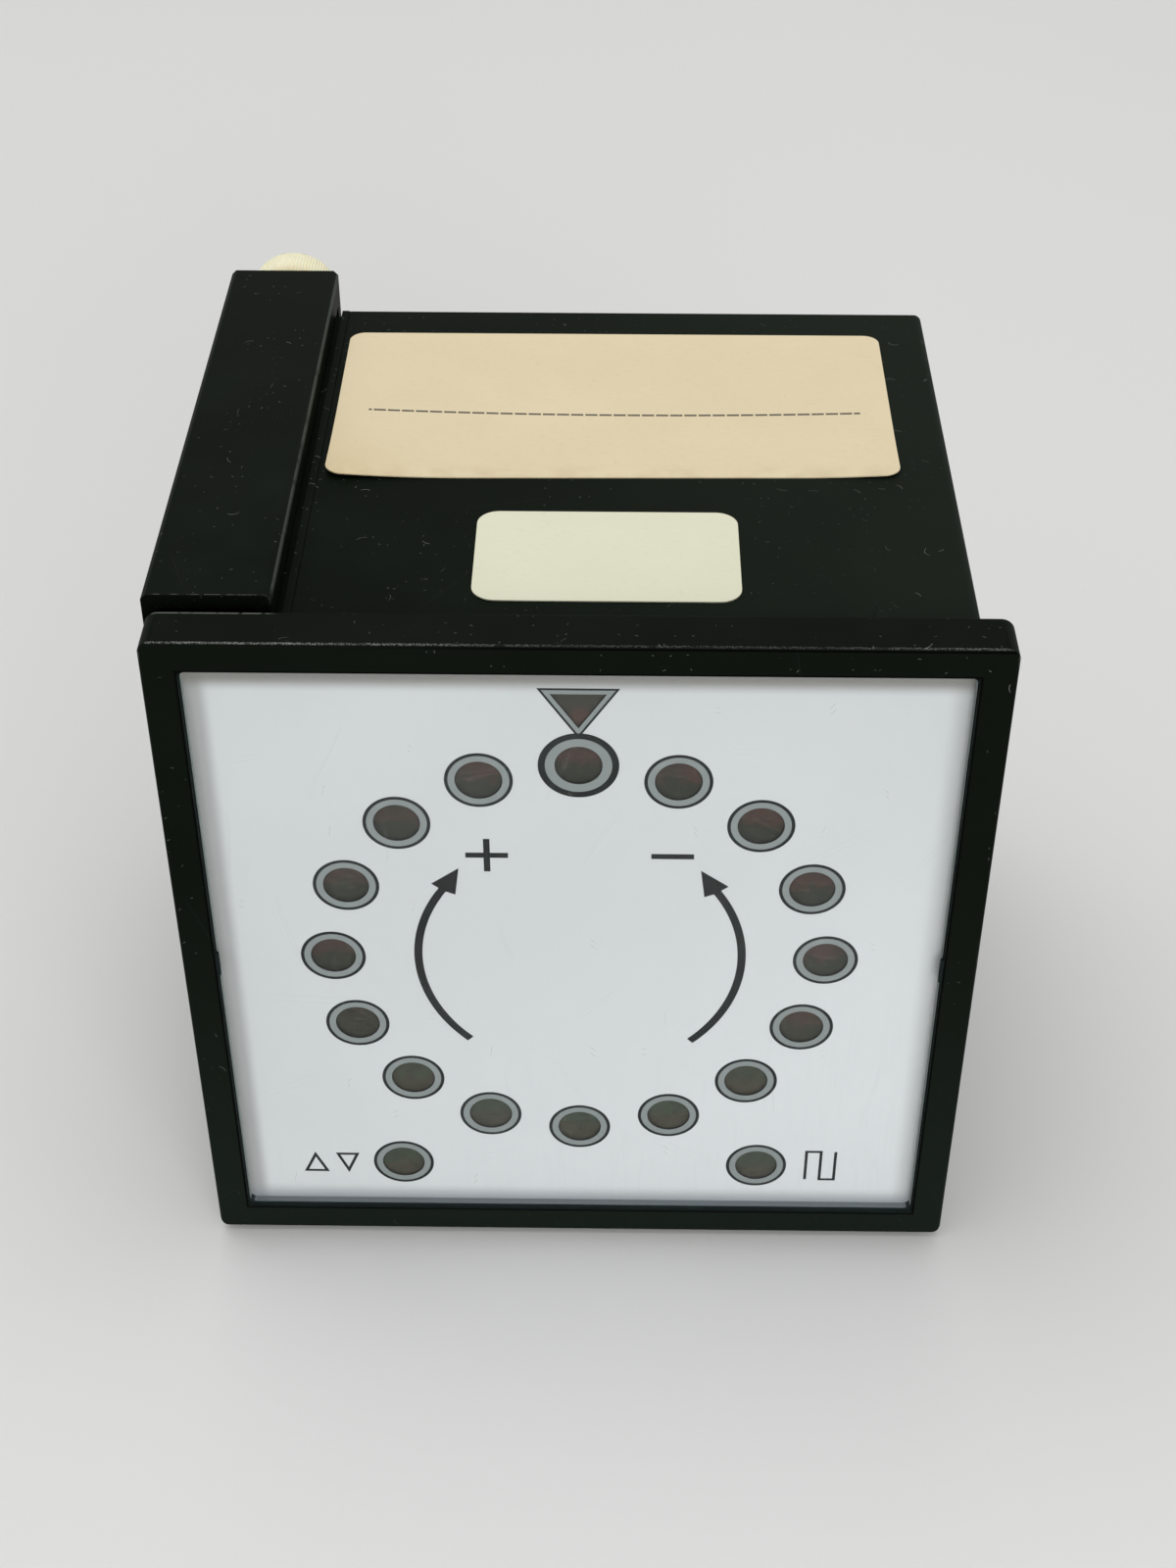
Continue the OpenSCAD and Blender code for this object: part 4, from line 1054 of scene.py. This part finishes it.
# %% [markdown]
# ## Floor, light and background
# The floor is a plain pale plane just under the lowest point of the object. The world is white to
# the camera, to reflections and to light seen through the window, and gives a softer level to
# everything else. One broad lamp overhead and one in front keep the shadows soft.

# %% Floor
floor_gap = 0.05 * MM
floor_half = 3.0
floor_height = float(cad_box[0][2]) - floor_gap
corners = np.array([(-1, -1, 0), (1, -1, 0), (1, 1, 0), (-1, 1, 0)]) * floor_half + (0, 0, floor_height)
floor_mesh = bpy.data.meshes.new("floor")
floor_mesh.from_pydata(corners.tolist(), [], [(0, 1, 2, 3)])
floor = bpy.data.objects.new("floor", floor_mesh)
bpy.context.collection.objects.link(floor)
floor_finish = Finish("pale_floor", (0.80, 0.80, 0.79), 0.8, Specular_IOR_Level=0.2)
floor_finish.coat(floor_finish.noise(120.0, 3.0) * 0.3, (0.77, 0.77, 0.76))
floor_mesh.materials.append(floor_finish.finish())
print("floor at", floor_height)

# %% World
world = bpy.data.worlds.new("soft_room")
bpy.context.scene.world = world
world.use_nodes = True
world.node_tree.nodes.clear()
sky = Shade(world.node_tree)
seen = sky.node("LightPath", out="Is Camera Ray")
for ray in ("Is Glossy Ray", "Is Transmission Ray"):
    seen = seen.most(sky.node("LightPath", out=ray))
ambient = 0.50
level = seen * (1 - ambient) + ambient
background = sky.node("Background", {}, {"Color": (1, 1, 1, 1), "Strength": level})
sky.node("OutputWorld", {}, {"Surface": background})
print("world nodes:", len(world.node_tree.nodes), "ambient level", ambient)

# %% Lamps


def lamp(name, place, aim, size, power):
    """A square area lamp of a size in metres that looks from place at aim."""
    data = bpy.data.lights.new(name, "AREA")
    data.size = size
    data.energy = power
    made = bpy.data.objects.new(name, data)
    bpy.context.collection.objects.link(made)
    made.location = place
    made.rotation_euler = (Vector(aim) - Vector(place)).to_track_quat("-Z", "Y").to_euler()
    print(name, "at", place, "power", power)


lamp("overhead", (-0.15, 0.25, 1.1), (0, 0.03, 0), 0.9, 5.0)
lamp("front_fill", (0.30, -1.00, 0.26), (0, 0, 0), 0.7, 6.1)
bpy.context.scene.view_settings.view_transform = "Standard"
